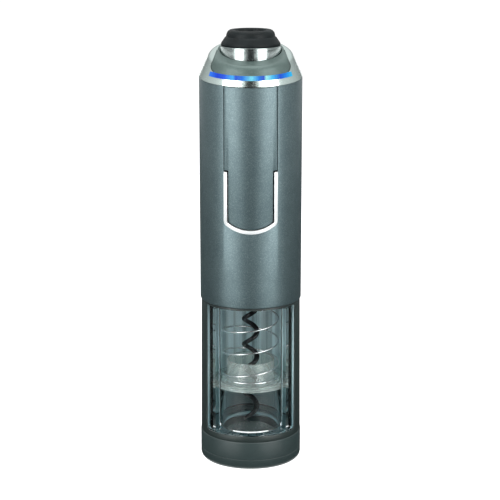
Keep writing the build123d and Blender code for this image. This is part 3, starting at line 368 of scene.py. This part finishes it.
# A closed ring drawn from level to level through (radius, height) points, as on a lathe
def turnProfile(name, profile, steps=128):
    deselectAll()
    radius, height = profile[0]
    bpy.ops.mesh.primitive_circle_add(vertices=steps, radius=radius * mm, location=(0, 0, height * mm))
    piece = bpy.context.object
    piece.name = name
    applyPlace()
    bpy.ops.object.mode_set(mode="EDIT")
    bpy.ops.mesh.select_all(action="SELECT")
    for nextRadius, nextHeight in profile[1:] + profile[:1]:
        rise = (nextHeight - height) * mm
        size = nextRadius / radius
        bpy.ops.mesh.extrude_region_move(TRANSFORM_OT_translate={"value": (0, 0, rise)})
        bpy.ops.transform.resize(value=(size, size, 1), center_override=(0, 0, 0))
        radius, height = nextRadius, nextHeight
    closeSeams()
    return piece


# Wire wound about Z: a round section carried from step to step up the given rises, in millimetres.
# Over the first tipSteps it grows from tipShare of its size, as on a ground point.
def windWire(name, coilRadius, wireRadius, low, startAngle, rises, stepsPerTurn=32, sides=12,
             tipSteps=0, tipShare=1.0):
    deselectAll()
    bpy.ops.mesh.primitive_circle_add(vertices=sides, radius=wireRadius * tipShare * mm, fill_type="NGON",
                                      location=(coilRadius * mm, 0, low * mm), rotation=(math.pi / 2, 0, 0))
    piece = bpy.context.object
    piece.name = name
    applyPlace()
    bpy.ops.object.mode_set(mode="EDIT")
    bpy.ops.mesh.select_all(action="SELECT")
    # transform.rotate turns clockwise for a positive value here
    bpy.ops.transform.rotate(value=-startAngle, orient_axis="Z", center_override=(0, 0, 0))
    turn = 2 * math.pi / stepsPerTurn
    angle, height, size = startAngle, low, tipShare
    for step, rise in enumerate(rises):
        bpy.ops.mesh.extrude_region_move(TRANSFORM_OT_translate={"value": (0, 0, rise * mm)})
        bpy.ops.transform.rotate(value=-turn, orient_axis="Z", center_override=(0, 0, 0))
        angle, height = angle + turn, height + rise
        if step < tipSteps:
            nextSize = tipShare + (1 - tipShare) * (step + 1) / tipSteps
            grow = nextSize / size
            middle = (coilRadius * math.cos(angle) * mm, coilRadius * math.sin(angle) * mm, height * mm)
            bpy.ops.transform.resize(value=(grow, grow, grow), center_override=middle)
            size = nextSize
    closeSeams()
    return piece


def applyModifier(piece, kind, **settings):
    makeActive(piece)
    modifier = piece.modifiers.new(kind.lower(), kind)
    for name, value in settings.items():
        setattr(modifier, name, value)
    bpy.ops.object.modifier_apply(modifier=modifier.name)


def roundEdges(piece, width, segments=3, angle=30):
    applyModifier(piece, "BEVEL", width=width * mm, segments=segments, limit_method="ANGLE",
                  angle_limit=math.radians(angle), use_clamp_overlap=True)


def combine(piece, tool, operation):
    applyModifier(piece, "BOOLEAN", object=tool, operation=operation, solver="EXACT")
    bpy.data.objects.remove(tool)


def addBlock(low, high, name="tool"):
    deselectAll()
    centre = [(a + b) / 2 * mm for a, b in zip(low, high)]
    size = [(b - a) * mm for a, b in zip(low, high)]
    bpy.ops.mesh.primitive_cube_add(size=1, location=centre, scale=size)
    bpy.context.object.name = name
    applyPlace()
    return bpy.context.object


# Drum along Z, then turned about the origin and moved to its place
def addDrum(radius, low, high, place=(0, 0, 0), turn=(0, 0, 0), name="tool"):
    deselectAll()
    bpy.ops.mesh.primitive_cylinder_add(vertices=48, radius=radius * mm, depth=(high - low) * mm,
                                        location=(0, 0, (low + high) / 2 * mm))
    drum = bpy.context.object
    drum.name = name
    applyPlace()
    drum.rotation_euler = turn
    drum.location = [value * mm for value in place]
    applyPlace()
    return drum


# Rounds the edges of a block that a test picks by their two ends
def roundPicked(piece, test, width, segments=6):
    makeActive(piece)
    bpy.ops.object.mode_set(mode="EDIT")
    bpy.ops.mesh.select_all(action="DESELECT")
    bpy.ops.object.mode_set(mode="OBJECT")
    points = piece.data.vertices
    for edge in piece.data.edges:
        first, second = (points[i].co / mm for i in edge.vertices)
        edge.select = bool(test(first, second))
    bpy.ops.object.mode_set(mode="EDIT")
    bpy.ops.mesh.bevel(offset=width * mm, segments=segments, affect="EDGES")
    bpy.ops.object.mode_set(mode="OBJECT")


# Test for the edges of a ring at one radius and height
def ringAt(radius, height, near=0.01):
    return lambda a, b: all(abs(p.z - height) < near and abs(p.xy.length - radius) < near for p in (a, b))


# Gives a finished piece its shading, finish, body and the nodes it stands for
def settle(piece, body, slotName, *nodes, smooth=35):
    makeActive(piece)
    bpy.ops.object.shade_smooth_by_angle(angle=math.radians(smooth))
    piece.data.materials.clear()
    piece.data.materials.append(materials[slotName])
    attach(piece, body)
    if nodes:
        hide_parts(*nodes)


wormLook = {"coilRadius": 3.5, "wireRadius": 1.5, "pitch": 14.8, "rightHeight": 57.2, "tipTurns": 0.6,
            "tipShare": 0.1, "tipLift": 0.3, "stepsPerTurn": 40, "sides": 16}


def makeWorm():
    look = wormLook
    low, high = roundSize("worm")[1:]
    steps = look["stepsPerTurn"]
    rise = look["pitch"] / steps
    foot = low + look["wireRadius"] * look["tipShare"] + look["tipLift"]
    start = 2 * math.pi * (foot - look["rightHeight"]) / look["pitch"]
    count = int((high - look["wireRadius"] - foot) / rise)
    piece = windWire("wormCoil", look["coilRadius"], look["wireRadius"], foot, start, [rise] * count, steps,
                     look["sides"], int(look["tipTurns"] * steps), look["tipShare"])
    settle(piece, "output_spindle", "worm_coating", "worm", smooth=60)


hubLook = {"bore": 0.4, "noseRadius": 3.0, "noseIn": 0.6, "noseUp": 0.8, "neck": 2.4, "shoulder": 1.0,
           "edge": 0.35, "slotWidth": 1.3, "slotDepth": 3.2, "slotAngles": (30, 90, 150)}


def makeHub():
    look = hubLook
    radius, low, high = roundSize("worm_hub")
    nose, neck = look["noseRadius"], low + look["neck"]
    piece = turnProfile("wormHub", [
        (look["bore"], low), (nose - look["noseIn"], low), (nose, low + look["noseUp"]), (nose, neck),
        (radius, neck + look["shoulder"]), (radius, high), (look["bore"], high)], 64)
    half = look["slotWidth"] / 2
    for angle in look["slotAngles"]:
        slotBlock = addBlock((-radius - 1, -half, low - 1), (radius + 1, half, low + look["slotDepth"]))
        slotBlock.rotation_euler.z = math.radians(angle)
        applyPlace()
        combine(piece, slotBlock, "DIFFERENCE")
    roundEdges(piece, look["edge"], 2)
    settle(piece, "output_spindle", "hub_metal", "worm_hub")


makeWorm()
makeHub()
print("worm and hub made")


guideSpringLook = {"coilRadius": 15.7, "wireRadius": 0.475, "pitch": 12.9, "frontHeight": 50.7,
                   "closedTurns": 0.75, "closedPitch": 0.1, "stepsPerTurn": 40, "sides": 10}


def makeGuideSpring():
    look = guideSpringLook
    low, high = roundSize("guide_spring")[1:]
    steps = look["stepsPerTurn"]
    foot = low + look["wireRadius"]
    top = high - look["wireRadius"]
    lift = look["closedPitch"] / steps
    closed = int(look["closedTurns"] * steps)
    active = round((top - foot) / look["pitch"] * steps)
    rise = (top - foot - 2 * closed * lift) / active
    front = -math.pi / 2
    start = front - 2 * math.pi * ((look["frontHeight"] - foot) / look["pitch"] + look["closedTurns"])
    rises = [lift] * closed + [rise] * active + [lift] * closed
    piece = windWire("guideSpringCoil", look["coilRadius"], look["wireRadius"], foot, start, rises, steps,
                     look["sides"])
    settle(piece, "housing", "spring_steel", "guide_spring", smooth=60)
    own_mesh(piece)


headSpringLook = {"wireRadius": 0.4, "turns": 3.1, "stepsPerTurn": 32, "sides": 8}


def makeHeadSpring():
    look = headSpringLook
    radius, low, high = roundSize("head_spring")
    wire, steps = look["wireRadius"], look["stepsPerTurn"]
    rise = (high - low - 2 * wire) / (look["turns"] * steps)
    piece = windWire("headSpringCoil", radius - wire, wire, low + wire, 0,
                     [rise] * int(look["turns"] * steps), steps, look["sides"])
    settle(piece, "housing", "spring_steel", "head_spring", smooth=60)
    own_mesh(piece)


makeGuideSpring()
makeHeadSpring()
print("springs wound")


neckGuideLook = {"flange": 3.0, "mouth": 15.6, "ring": 13.4, "bore": 12.3, "shoulder": 5.9, "edge": 0.45,
                 "flareFrom": 2.6, "flareTo": 1.0, "flareRise": 0.9}


def makeNeckGuide():
    look = neckGuideLook
    radius, low, high = roundSize("neck_guide")
    shoulder = low + look["shoulder"]
    deck = low + look["flange"]
    piece = turnProfile("neckGuideCup", [
        (look["mouth"], low), (radius, low), (radius, deck), (look["ring"] + look["flareFrom"], deck),
        (look["ring"] + look["flareTo"], deck + look["flareRise"]), (look["ring"], shoulder),
        (look["ring"], high), (look["bore"], high), (look["bore"], shoulder)])
    roundEdges(piece, look["edge"])
    settle(piece, "neck_guide", "clear_guide", "neck_guide")


stopTubeLook = {"outer": 17.6, "inner": 16.0, "footFrom": 1.5, "footTo": 2.85, "edge": 0.35}


def makeStopTube():
    look = stopTubeLook
    radius, low, high = roundSize("stop_tube")
    outer, inner, foot, footTop = look["outer"], look["inner"], low + look["footFrom"], low + look["footTo"]
    piece = turnProfile("stopTubeClear", [
        (inner, low), (outer, low), (outer, foot), (radius, foot), (radius, footTop),
        (outer, footTop), (outer, high), (inner, high)])
    roundEdges(piece, look["edge"])
    settle(piece, "housing", "clear_plastic", "stop_tube")


makeNeckGuide()
makeStopTube()
print("clear parts made")


# Radius and height: the outside and the bowl from the foot, the lip from the top
nozzleLook = {
    "outside": [(15.7, 0), (16.05, 0.5), (16.05, 1.2), (15.7, 1.9), (15.1, 2.7), (14.5, 3.6), (14.0, 4.4),
                (13.3, 4.9), (13.25, 5.3), (13.1, 6.1), (12.8, 7.0), (12.2, 7.8)],
    "lip": [(11.3, -0.1), (10.2, 0), (9.2, -0.05), (8.6, -0.6), (8.35, -1.6)],
    "bowl": [(8.0, 1.9), (7.0, 1.3), (1.6, 1.0), (1.6, 0)]}


def makeNozzle():
    look = nozzleLook
    low, high = roundSize("rubber_nozzle")[1:]
    outside = [(r, low + z) for r, z in look["outside"]]
    lip = [(r, high + z) for r, z in look["lip"]]
    bowl = [(r, low + z) for r, z in look["bowl"]]
    piece = turnProfile("nozzleRubberBell", outside + lip + bowl)
    settle(piece, "vacuum_head", "nozzle_rubber", "rubber_nozzle", smooth=40)


collarLook = {"wall": 0.8, "edge": 0.25}


def makeCollar():
    radius, low, high = roundSize("head_collar")
    inner = radius - collarLook["wall"]
    piece = turnProfile("collarBrushedRing", [(inner, low), (radius, low), (radius, high), (inner, high)])
    roundEdges(piece, collarLook["edge"])
    settle(piece, "vacuum_head", "collar_steel", "head_collar")


makeNozzle()
makeCollar()
print("vacuum head made")


shellSteps = 192  # sides of the large round shells
shellLook = {"wall": 2.2, "bezelHeight": 215.9, "bezelSlope": 5.5, "seam": 0.15, "footRound": 0.8,
             "edge": 0.35, "contactX": (-4.0, 4.0), "contactZ": 104.0, "contactRadius": 2.05,
             "contactBand": 2.6, "contactInner": 20}
panelLook = {"half": 14.5, "bottom": 134.1, "arc": 23.0, "corner": 2.5, "innerCorner": 1.5, "trimWidth": 1.8,
             "trimProud": 0.1, "tongueGap": 0.75, "upperHalf": 13.3, "step": 168.4, "thickness": 2.0,
             "topGap": 0.45, "flangeDrop": 0.6, "flangeGap": 0.25, "flangeApart": 0.02, "edge": 0.3}
fittingLook = {"earX": 7.85, "earHalf": 1.35, "earFront": -26.2, "earBack": -19.5, "earLow": 204.5,
               "earHigh": 208.5, "pinRadius": 1.22, "pinLength": 2.1, "pinRoot": 0.3, "pinY": -20.8,
               "pinZ": 206.5, "plungerRadius": 3.0, "plungerFace": -25.25, "plungerLength": 1.2,
               "plungerZ": 150.0, "edge": 0.3}
# How far the cutting blocks reach, past every wall
toolLook = {"bezelReach": 45, "bezelHigh": 60, "front": -40, "back": -15, "top": 250, "drumDepth": 40,
            "drumY": -27.5, "capFront": -46, "capBack": -9}


# Everything above the bezel's lower plane, raised by a height
def blockAboveBezel(lift):
    reach = toolLook["bezelReach"]
    tool = addBlock((-reach, -reach, lift), (reach, reach, toolLook["bezelHigh"]))
    tool.rotation_euler.x = math.radians(shellLook["bezelSlope"])
    tool.location.z = shellLook["bezelHeight"] * mm
    applyPlace()
    return tool


# Prism with the panel opening's outline, drawn in by an inset
def panelPrism(inset, corner):
    look, tool = panelLook, toolLook
    half = look["half"] - inset
    bottom = look["bottom"] + inset
    arc = look["arc"] - inset
    side = bottom + arc - math.sqrt(arc ** 2 - half ** 2)
    prism = addBlock((-half, tool["front"], bottom), (half, tool["back"], tool["top"]))
    deselectAll()
    bpy.ops.mesh.primitive_cylinder_add(
        vertices=128, radius=arc * mm, depth=tool["drumDepth"] * mm, rotation=(math.pi / 2, 0, 0),
        location=(0, tool["drumY"] * mm, (bottom + arc) * mm))
    applyPlace()
    rounded = bpy.context.object
    combine(rounded, addBlock((-half - 1, tool["capFront"], bottom + arc),
                              (half + 1, tool["capBack"], tool["top"] + 1)), "UNION")
    combine(prism, rounded, "INTERSECT")
    near = 0.02
    roundPicked(prism, lambda a, b: abs(a.z - side) < near and abs(b.z - side) < near
                and abs(abs(a.x) - half) < near and abs(a.x - b.x) < near, corner)
    return prism


def makeHousing():
    look = shellLook
    radius, low, high = roundSize("main_housing")
    inner, top = radius - look["wall"], high + 2
    # two rings either side of the charging contacts keep the shading of the back wall even
    under, over = look["contactZ"] - look["contactBand"], look["contactZ"] + look["contactBand"]
    shell = turnProfile("housingShell", [
        (inner, low), (radius, low), (radius, under), (radius, over), (radius, top), (inner, top),
        (inner, over), (inner, under)], shellSteps)
    roundPicked(shell, ringAt(radius, low), look["footRound"], 4)
    combine(shell, blockAboveBezel(-look["seam"]), "DIFFERENCE")
    combine(shell, panelPrism(0, panelLook["corner"]), "DIFFERENCE")
    for x in look["contactX"]:
        hole = addDrum(look["contactRadius"], look["contactInner"], radius + 2, (x, 0, look["contactZ"]),
                       (-math.pi / 2, 0, 0))
        combine(shell, hole, "DIFFERENCE")
    roundEdges(shell, look["edge"], 2, 50)
    settle(shell, "housing", "housing_paint", "main_housing")


def makeTrim():
    look = panelLook
    radius = roundSize("main_housing")[0]
    proud, inner = radius + look["trimProud"], radius - shellLook["wall"]
    low, high = look["bottom"] - 1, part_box("panel_trim")[1].z / mm
    trim = turnProfile("trimBright", [(inner, low), (proud, low), (proud, high), (inner, high)], shellSteps)
    combine(trim, panelPrism(0, look["corner"]), "INTERSECT")
    combine(trim, panelPrism(look["trimWidth"], look["innerCorner"]), "DIFFERENCE")
    roundEdges(trim, look["edge"], 2, 50)
    settle(trim, "housing", "trim_chrome", "panel_trim")


# The pressed face, and the sunk flange either side of it
def makePanel():
    look, tool = panelLook, toolLook
    radius = roundSize("main_housing")[0]
    inner = radius - look["thickness"]
    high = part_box("press_panel")[1].z / mm + 1
    low = look["bottom"]
    tongue = panelPrism(look["trimWidth"] + look["tongueGap"], look["innerCorner"])
    upper = addBlock((-look["upperHalf"], tool["front"] - 1, look["step"]),
                     (look["upperHalf"], tool["back"] + 1, tool["top"] - 1))
    combine(tongue, upper, "UNION")
    panel = turnProfile("pressPanelShell", [(inner, low), (radius, low), (radius, high), (inner, high)],
                        shellSteps)
    combine(panel, tongue, "INTERSECT")
    combine(panel, blockAboveBezel(-look["topGap"]), "DIFFERENCE")
    roundEdges(panel, look["edge"], 2, 50)
    settle(panel, "press_panel", "housing_paint")
    apart = look["flangeApart"]
    dropped, flangeInner, foot = radius - look["flangeDrop"], inner + apart, look["step"] + apart
    flange = turnProfile("pressPanelFlange", [(flangeInner, foot), (dropped, foot), (dropped, high),
                                              (flangeInner, high)], shellSteps)
    combine(flange, panelPrism(look["flangeGap"], look["innerCorner"]), "INTERSECT")
    combine(flange, blockAboveBezel(-look["topGap"] - apart), "DIFFERENCE")
    settle(flange, "press_panel", "housing_paint", "press_panel")


# Hinge ears with their pins, and the plunger that reaches the switch
def makePanelFittings():
    look = fittingLook
    for side, sideName in ((-1, "Left"), (1, "Right")):
        middle = side * look["earX"]
        ear = addBlock((middle - look["earHalf"], look["earFront"], look["earLow"]),
                       (middle + look["earHalf"], look["earBack"], look["earHigh"]), "panelEar" + sideName)
        roundEdges(ear, look["edge"], 2)
        pin = addDrum(look["pinRadius"], -look["pinRoot"], look["pinLength"],
                      (side * (look["earX"] + look["earHalf"]), look["pinY"], look["pinZ"]),
                      (0, side * math.pi / 2, 0))
        combine(ear, pin, "UNION")
        settle(ear, "press_panel", "housing_paint")
    plunger = addDrum(look["plungerRadius"], 0, look["plungerLength"],
                      (0, look["plungerFace"], look["plungerZ"]), (math.pi / 2, 0, 0), "panelPlunger")
    roundEdges(plunger, look["edge"], 2)
    settle(plunger, "press_panel", "housing_paint")


sleeveLook = {"low": 15.9, "high": 92.3, "footRadius": 27.93, "topRadius": 27.41, "bore": 25.4,
              "floor": 1.5, "floorHole": 17.7, "ledge": 92.5, "neckOuter": 25.75, "neckInner": 23.9,
              "neckHigh": 99.5, "spigotOuter": 24.9, "spigotInner": 22.9, "spigotLow": 12.9,
              "windowHalfAngle": 62.0, "windowLow": 19.2, "windowHigh": 91.3, "windowCorner": 3.0,
              "reach": 60, "edge": 0.3}


# The window's sector, with its lower corners rounded
def windowTool():
    look = sleeveLook
    low, reach = look["windowLow"], look["reach"]
    tool = addBlock((-reach, -reach, low), (reach, 0, look["windowHigh"]))
    angle = math.radians(look["windowHalfAngle"])
    bpy.ops.object.mode_set(mode="EDIT")
    for side in (-1, 1):
        bpy.ops.mesh.select_all(action="SELECT")
        bpy.ops.mesh.bisect(plane_co=(0, 0, 0), plane_no=(side * math.cos(angle), math.sin(angle), 0),
                            use_fill=True, clear_outer=True)
    bpy.ops.object.mode_set(mode="OBJECT")
    near = 0.01
    roundPicked(tool, lambda a, b: abs(a.z - low) < near and abs(b.z - low) < near
                and min(a.xy.length, b.xy.length) < near, look["windowCorner"])
    return tool


def makeSleeve():
    look = sleeveLook
    low, high, floor = look["low"], look["high"], look["low"] + look["floor"]
    sleeve = turnProfile("sleeveDark", [
        (look["bore"], floor), (look["bore"], look["ledge"]), (look["neckInner"], look["ledge"]),
        (look["neckInner"], look["neckHigh"]), (look["neckOuter"], look["neckHigh"]),
        (look["neckOuter"], high), (look["topRadius"], high), (look["footRadius"], low),
        (look["spigotOuter"], low), (look["spigotOuter"], look["spigotLow"]),
        (look["spigotInner"], look["spigotLow"]), (look["spigotInner"], low), (look["floorHole"], low),
        (look["floorHole"], floor)], shellSteps)
    combine(sleeve, windowTool(), "DIFFERENCE")
    roundEdges(sleeve, look["edge"], 2, 40)
    settle(sleeve, "housing", "sleeve_plastic", "window_sleeve")


# footRound: how far in and how high
cutterLook = {"bore": 15.0, "boreRound": 1, "footRound": [(2.0, 0), (0.9, 0.35), (0.3, 1.0), (0, 2.1)],
              "socket": 25.1, "socketHeight": 12.7, "groove": 5.6, "grooveHalf": 0.22, "grooveDepth": 0.2,
              "pocket": 5.0, "pocketHalf": 0.6, "edge": 0.45}


def makeCutter():
    look = cutterLook
    radius, low, high = roundSize("foil_cutter_body")
    groove, half = look["groove"], look["grooveHalf"]
    foot = [(radius - inset, low + rise) for inset, rise in look["footRound"]]
    body = turnProfile("cutterRing", [(look["bore"] + look["boreRound"], low)] + foot + [
        (radius, groove - half), (radius - look["grooveDepth"], groove), (radius, groove + half),
        (radius, high), (look["socket"], high), (look["socket"], look["socketHeight"]),
        (look["bore"], look["socketHeight"]), (look["bore"], look["boreRound"])], shellSteps)
    wheelLow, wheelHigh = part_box("cutter_wheel_1")
    x = (wheelLow.x + wheelHigh.x) / 2 / mm
    z = (wheelLow.z + wheelHigh.z) / 2 / mm
    for side, ahead in ((x, x), (-x, x), (-x, -x), (x, -x)):
        pocket = addDrum(look["pocket"], z - look["pocketHalf"], z + look["pocketHalf"], (side, ahead, 0))
        combine(body, pocket, "DIFFERENCE")
    roundPicked(body, ringAt(radius, high), look["edge"], 3)
    settle(body, "foil_cutter", "cutter_plastic", "foil_cutter_body")


makeHousing()
makeTrim()
makePanel()
makePanelFittings()
print("housing, trim and panel made")
makeSleeve()
makeCutter()
print("sleeve and foil cutter made")


# Paper, felt or cloth with a fine grain: an unfinished material, and the node that holds its colour
def grainedSheet(name, grain, dark, light):
    material, place = newMaterial(name)
    fibre = addNode(material, "ShaderNodeTexNoise", noiseOf(grain), {"Vector": place.outputs[0]})
    share = addNode(material, "ShaderNodeMapRange", noiseTo(0, 1), {"Value": fibre.outputs[0]})
    return material, addNode(material, "ShaderNodeMix", mixOf(dark, light), {0: share.outputs[0]})


def mattSheet(name, grain, dark, light):
    material, colour = grainedSheet(name, grain, dark, light)
    shader = addNode(material, "ShaderNodeBsdfDiffuse", {"Roughness": 0.9}, {"Color": colour.outputs[2]})
    return finishMaterial(material, shader)


# Stage that the camera doesn't show: it is there for what the object reflects
def hideFromCamera(sheet, material):
    sheet.data.materials.append(material)
    sheet.visible_camera = False
    sheet.visible_shadow = False


stageLook = {"floor": 60, "glow": 1.0, "sky": "#f3f6f6", "skyLow": 0.22, "skyHigh": 0.85, "skyFrom": 0.45}


def makeStage():
    look = stageLook
    deselectAll()
    bpy.ops.mesh.primitive_plane_add(size=look["floor"], location=(0, 0, 0))
    floor = bpy.context.object
    floor.name = "studioFloor"
    material, colour = grainedSheet("paleStudioPaper", 4.0, "#f0f0ef", "#f4f4f3")
    shader = addNode(material, "ShaderNodeBsdfPrincipled",
                     {"Roughness": 0.9, "Emission Color": hexColour("#ffffff"),
                      "Emission Strength": look["glow"]}, {"Base Color": colour.outputs[2]})
    floor.data.materials.append(finishMaterial(material, shader))
    world = bpy.data.worlds.new("studioAir")
    bpy.context.scene.world = world
    world.use_nodes = True
    sky = world.node_tree.nodes["Background"]
    sky.inputs[0].default_value = hexColour(look["sky"])
    towards = addNode(world, "ShaderNodeTexCoord")
    axes = addNode(world, "ShaderNodeSeparateXYZ", links={0: towards.outputs[0]})
    strength = addNode(world, "ShaderNodeMapRange",
                       {"From Min": 0.0, "From Max": look["skyFrom"], "To Min": look["skyLow"],
                        "To Max": look["skyHigh"]}, {"Value": axes.outputs[2]})
    world.node_tree.links.new(strength.outputs[0], sky.inputs[1])


feltLook = {"inner": 28.6, "level": 0.4, "spread": 140}


# Dark felt round the object keeps the sides from washing out
def makeFelt():
    look = feltLook
    deselectAll()
    bpy.ops.mesh.primitive_circle_add(vertices=96, radius=look["inner"] * mm,
                                      location=(0, 0, look["level"] * mm))
    felt = bpy.context.object
    felt.name = "darkFelt"
    bpy.ops.object.mode_set(mode="EDIT")
    bpy.ops.mesh.select_all(action="SELECT")
    bpy.ops.mesh.extrude_region_move()
    bpy.ops.transform.resize(value=(look["spread"], look["spread"], 1), center_override=(0, 0, 0))
    bpy.ops.object.mode_set(mode="OBJECT")
    hideFromCamera(felt, mattSheet("darkFeltCard", 3.0, "#202324", "#262a2b"))


flagLook = {"half": 310, "away": 1300, "thick": 2, "high": 2200}


# Black flag behind the camera: the dark middle of everything bright
def makeFlag():
    look = flagLook
    flag = addBlock((-look["half"], -look["away"] - look["thick"], 0),
                    (look["half"], -look["away"], look["high"]), "blackFlag")
    flag.visible_diffuse = False
    hideFromCamera(flag, mattSheet("blackFlagCloth", 2.0, "#0c0d0e", "#121314"))


cardLook = {"reach": 1200, "level": 0.6, "thick": 0.3, "from": 20, "to": 62, "start": 60}


# White cards lying on the felt below the softboxes: they carry the bright bands down to the foot
def makeCards():
    look = cardLook
    board = mattSheet("whiteCardBoard", 3.0, "#e2e5e6", "#ebeeee")
    for side, sideName in ((-1, "left"), (1, "right")):
        card = addBlock((-look["reach"], -look["reach"], look["level"]),
                        (look["reach"], 0, look["level"] + look["thick"]), sideName + "WhiteCard")
        bpy.ops.object.mode_set(mode="EDIT")
        for angle, keep in ((look["from"], -1), (look["to"], 1)):
            turned = math.radians(angle)
            bpy.ops.mesh.select_all(action="SELECT")
            bpy.ops.mesh.bisect(plane_co=(0, 0, 0), use_fill=True, clear_outer=True,
                                plane_no=(keep * side * math.cos(turned), keep * math.sin(turned), 0))
        bpy.ops.object.mode_set(mode="OBJECT")
        combine(card, addDrum(look["start"], 0, 2), "DIFFERENCE")
        card.visible_diffuse = False
        hideFromCamera(card, board)


# Name, width, height, place, power, and whether reflections show it
lampAim = (0, 0, 0.12)
lamps = [
    ("leftSoftbox", 0.62, 0.95, (-0.66, -0.68, 0.44), 7, True),
    ("rightSoftbox", 0.62, 0.95, (0.66, -0.68, 0.44), 7, True),
    ("topSoftbox", 0.9, 0.9, (0, 0.1, 1.4), 6, True),
    ("backSoftbox", 1.3, 0.7, (0, 0.8, 0.9), 9, False),
]


def makeLights():
    for name, width, height, place, power, mirrored in lamps:
        deselectAll()
        bpy.ops.object.light_add(type="AREA", location=place)
        lamp = bpy.context.object
        lamp.name = name
        lamp.data.shape = "RECTANGLE"
        lamp.data.size = width
        lamp.data.size_y = height
        lamp.data.energy = power
        lamp.rotation_euler = (Vector(lampAim) - Vector(place)).to_track_quat("-Z", "Y").to_euler()
        lamp.visible_glossy = mirrored


cameraLook = {"place": (0.0, -0.8633, 0.3261), "aim": (0.0, 0.0, 0.1189), "lens": 115.2, "sensor": 36.0,
              "shift": -0.0014, "clip": 0.01}


def makeCamera():
    look = cameraLook
    deselectAll()
    bpy.ops.object.camera_add(location=look["place"])
    camera = bpy.context.object
    camera.name = "photoCamera"
    camera.rotation_euler = (Vector(look["aim"]) - Vector(look["place"])).to_track_quat("-Z", "Y").to_euler()
    camera.data.lens = look["lens"]
    camera.data.sensor_width = look["sensor"]
    camera.data.shift_x = look["shift"]
    camera.data.clip_start = look["clip"]
    bpy.context.scene.camera = camera


makeStage()
makeFelt()
makeFlag()
makeCards()
makeLights()
makeCamera()
bpy.context.scene.view_settings.view_transform = "Standard"
print("stage, lights and camera set")
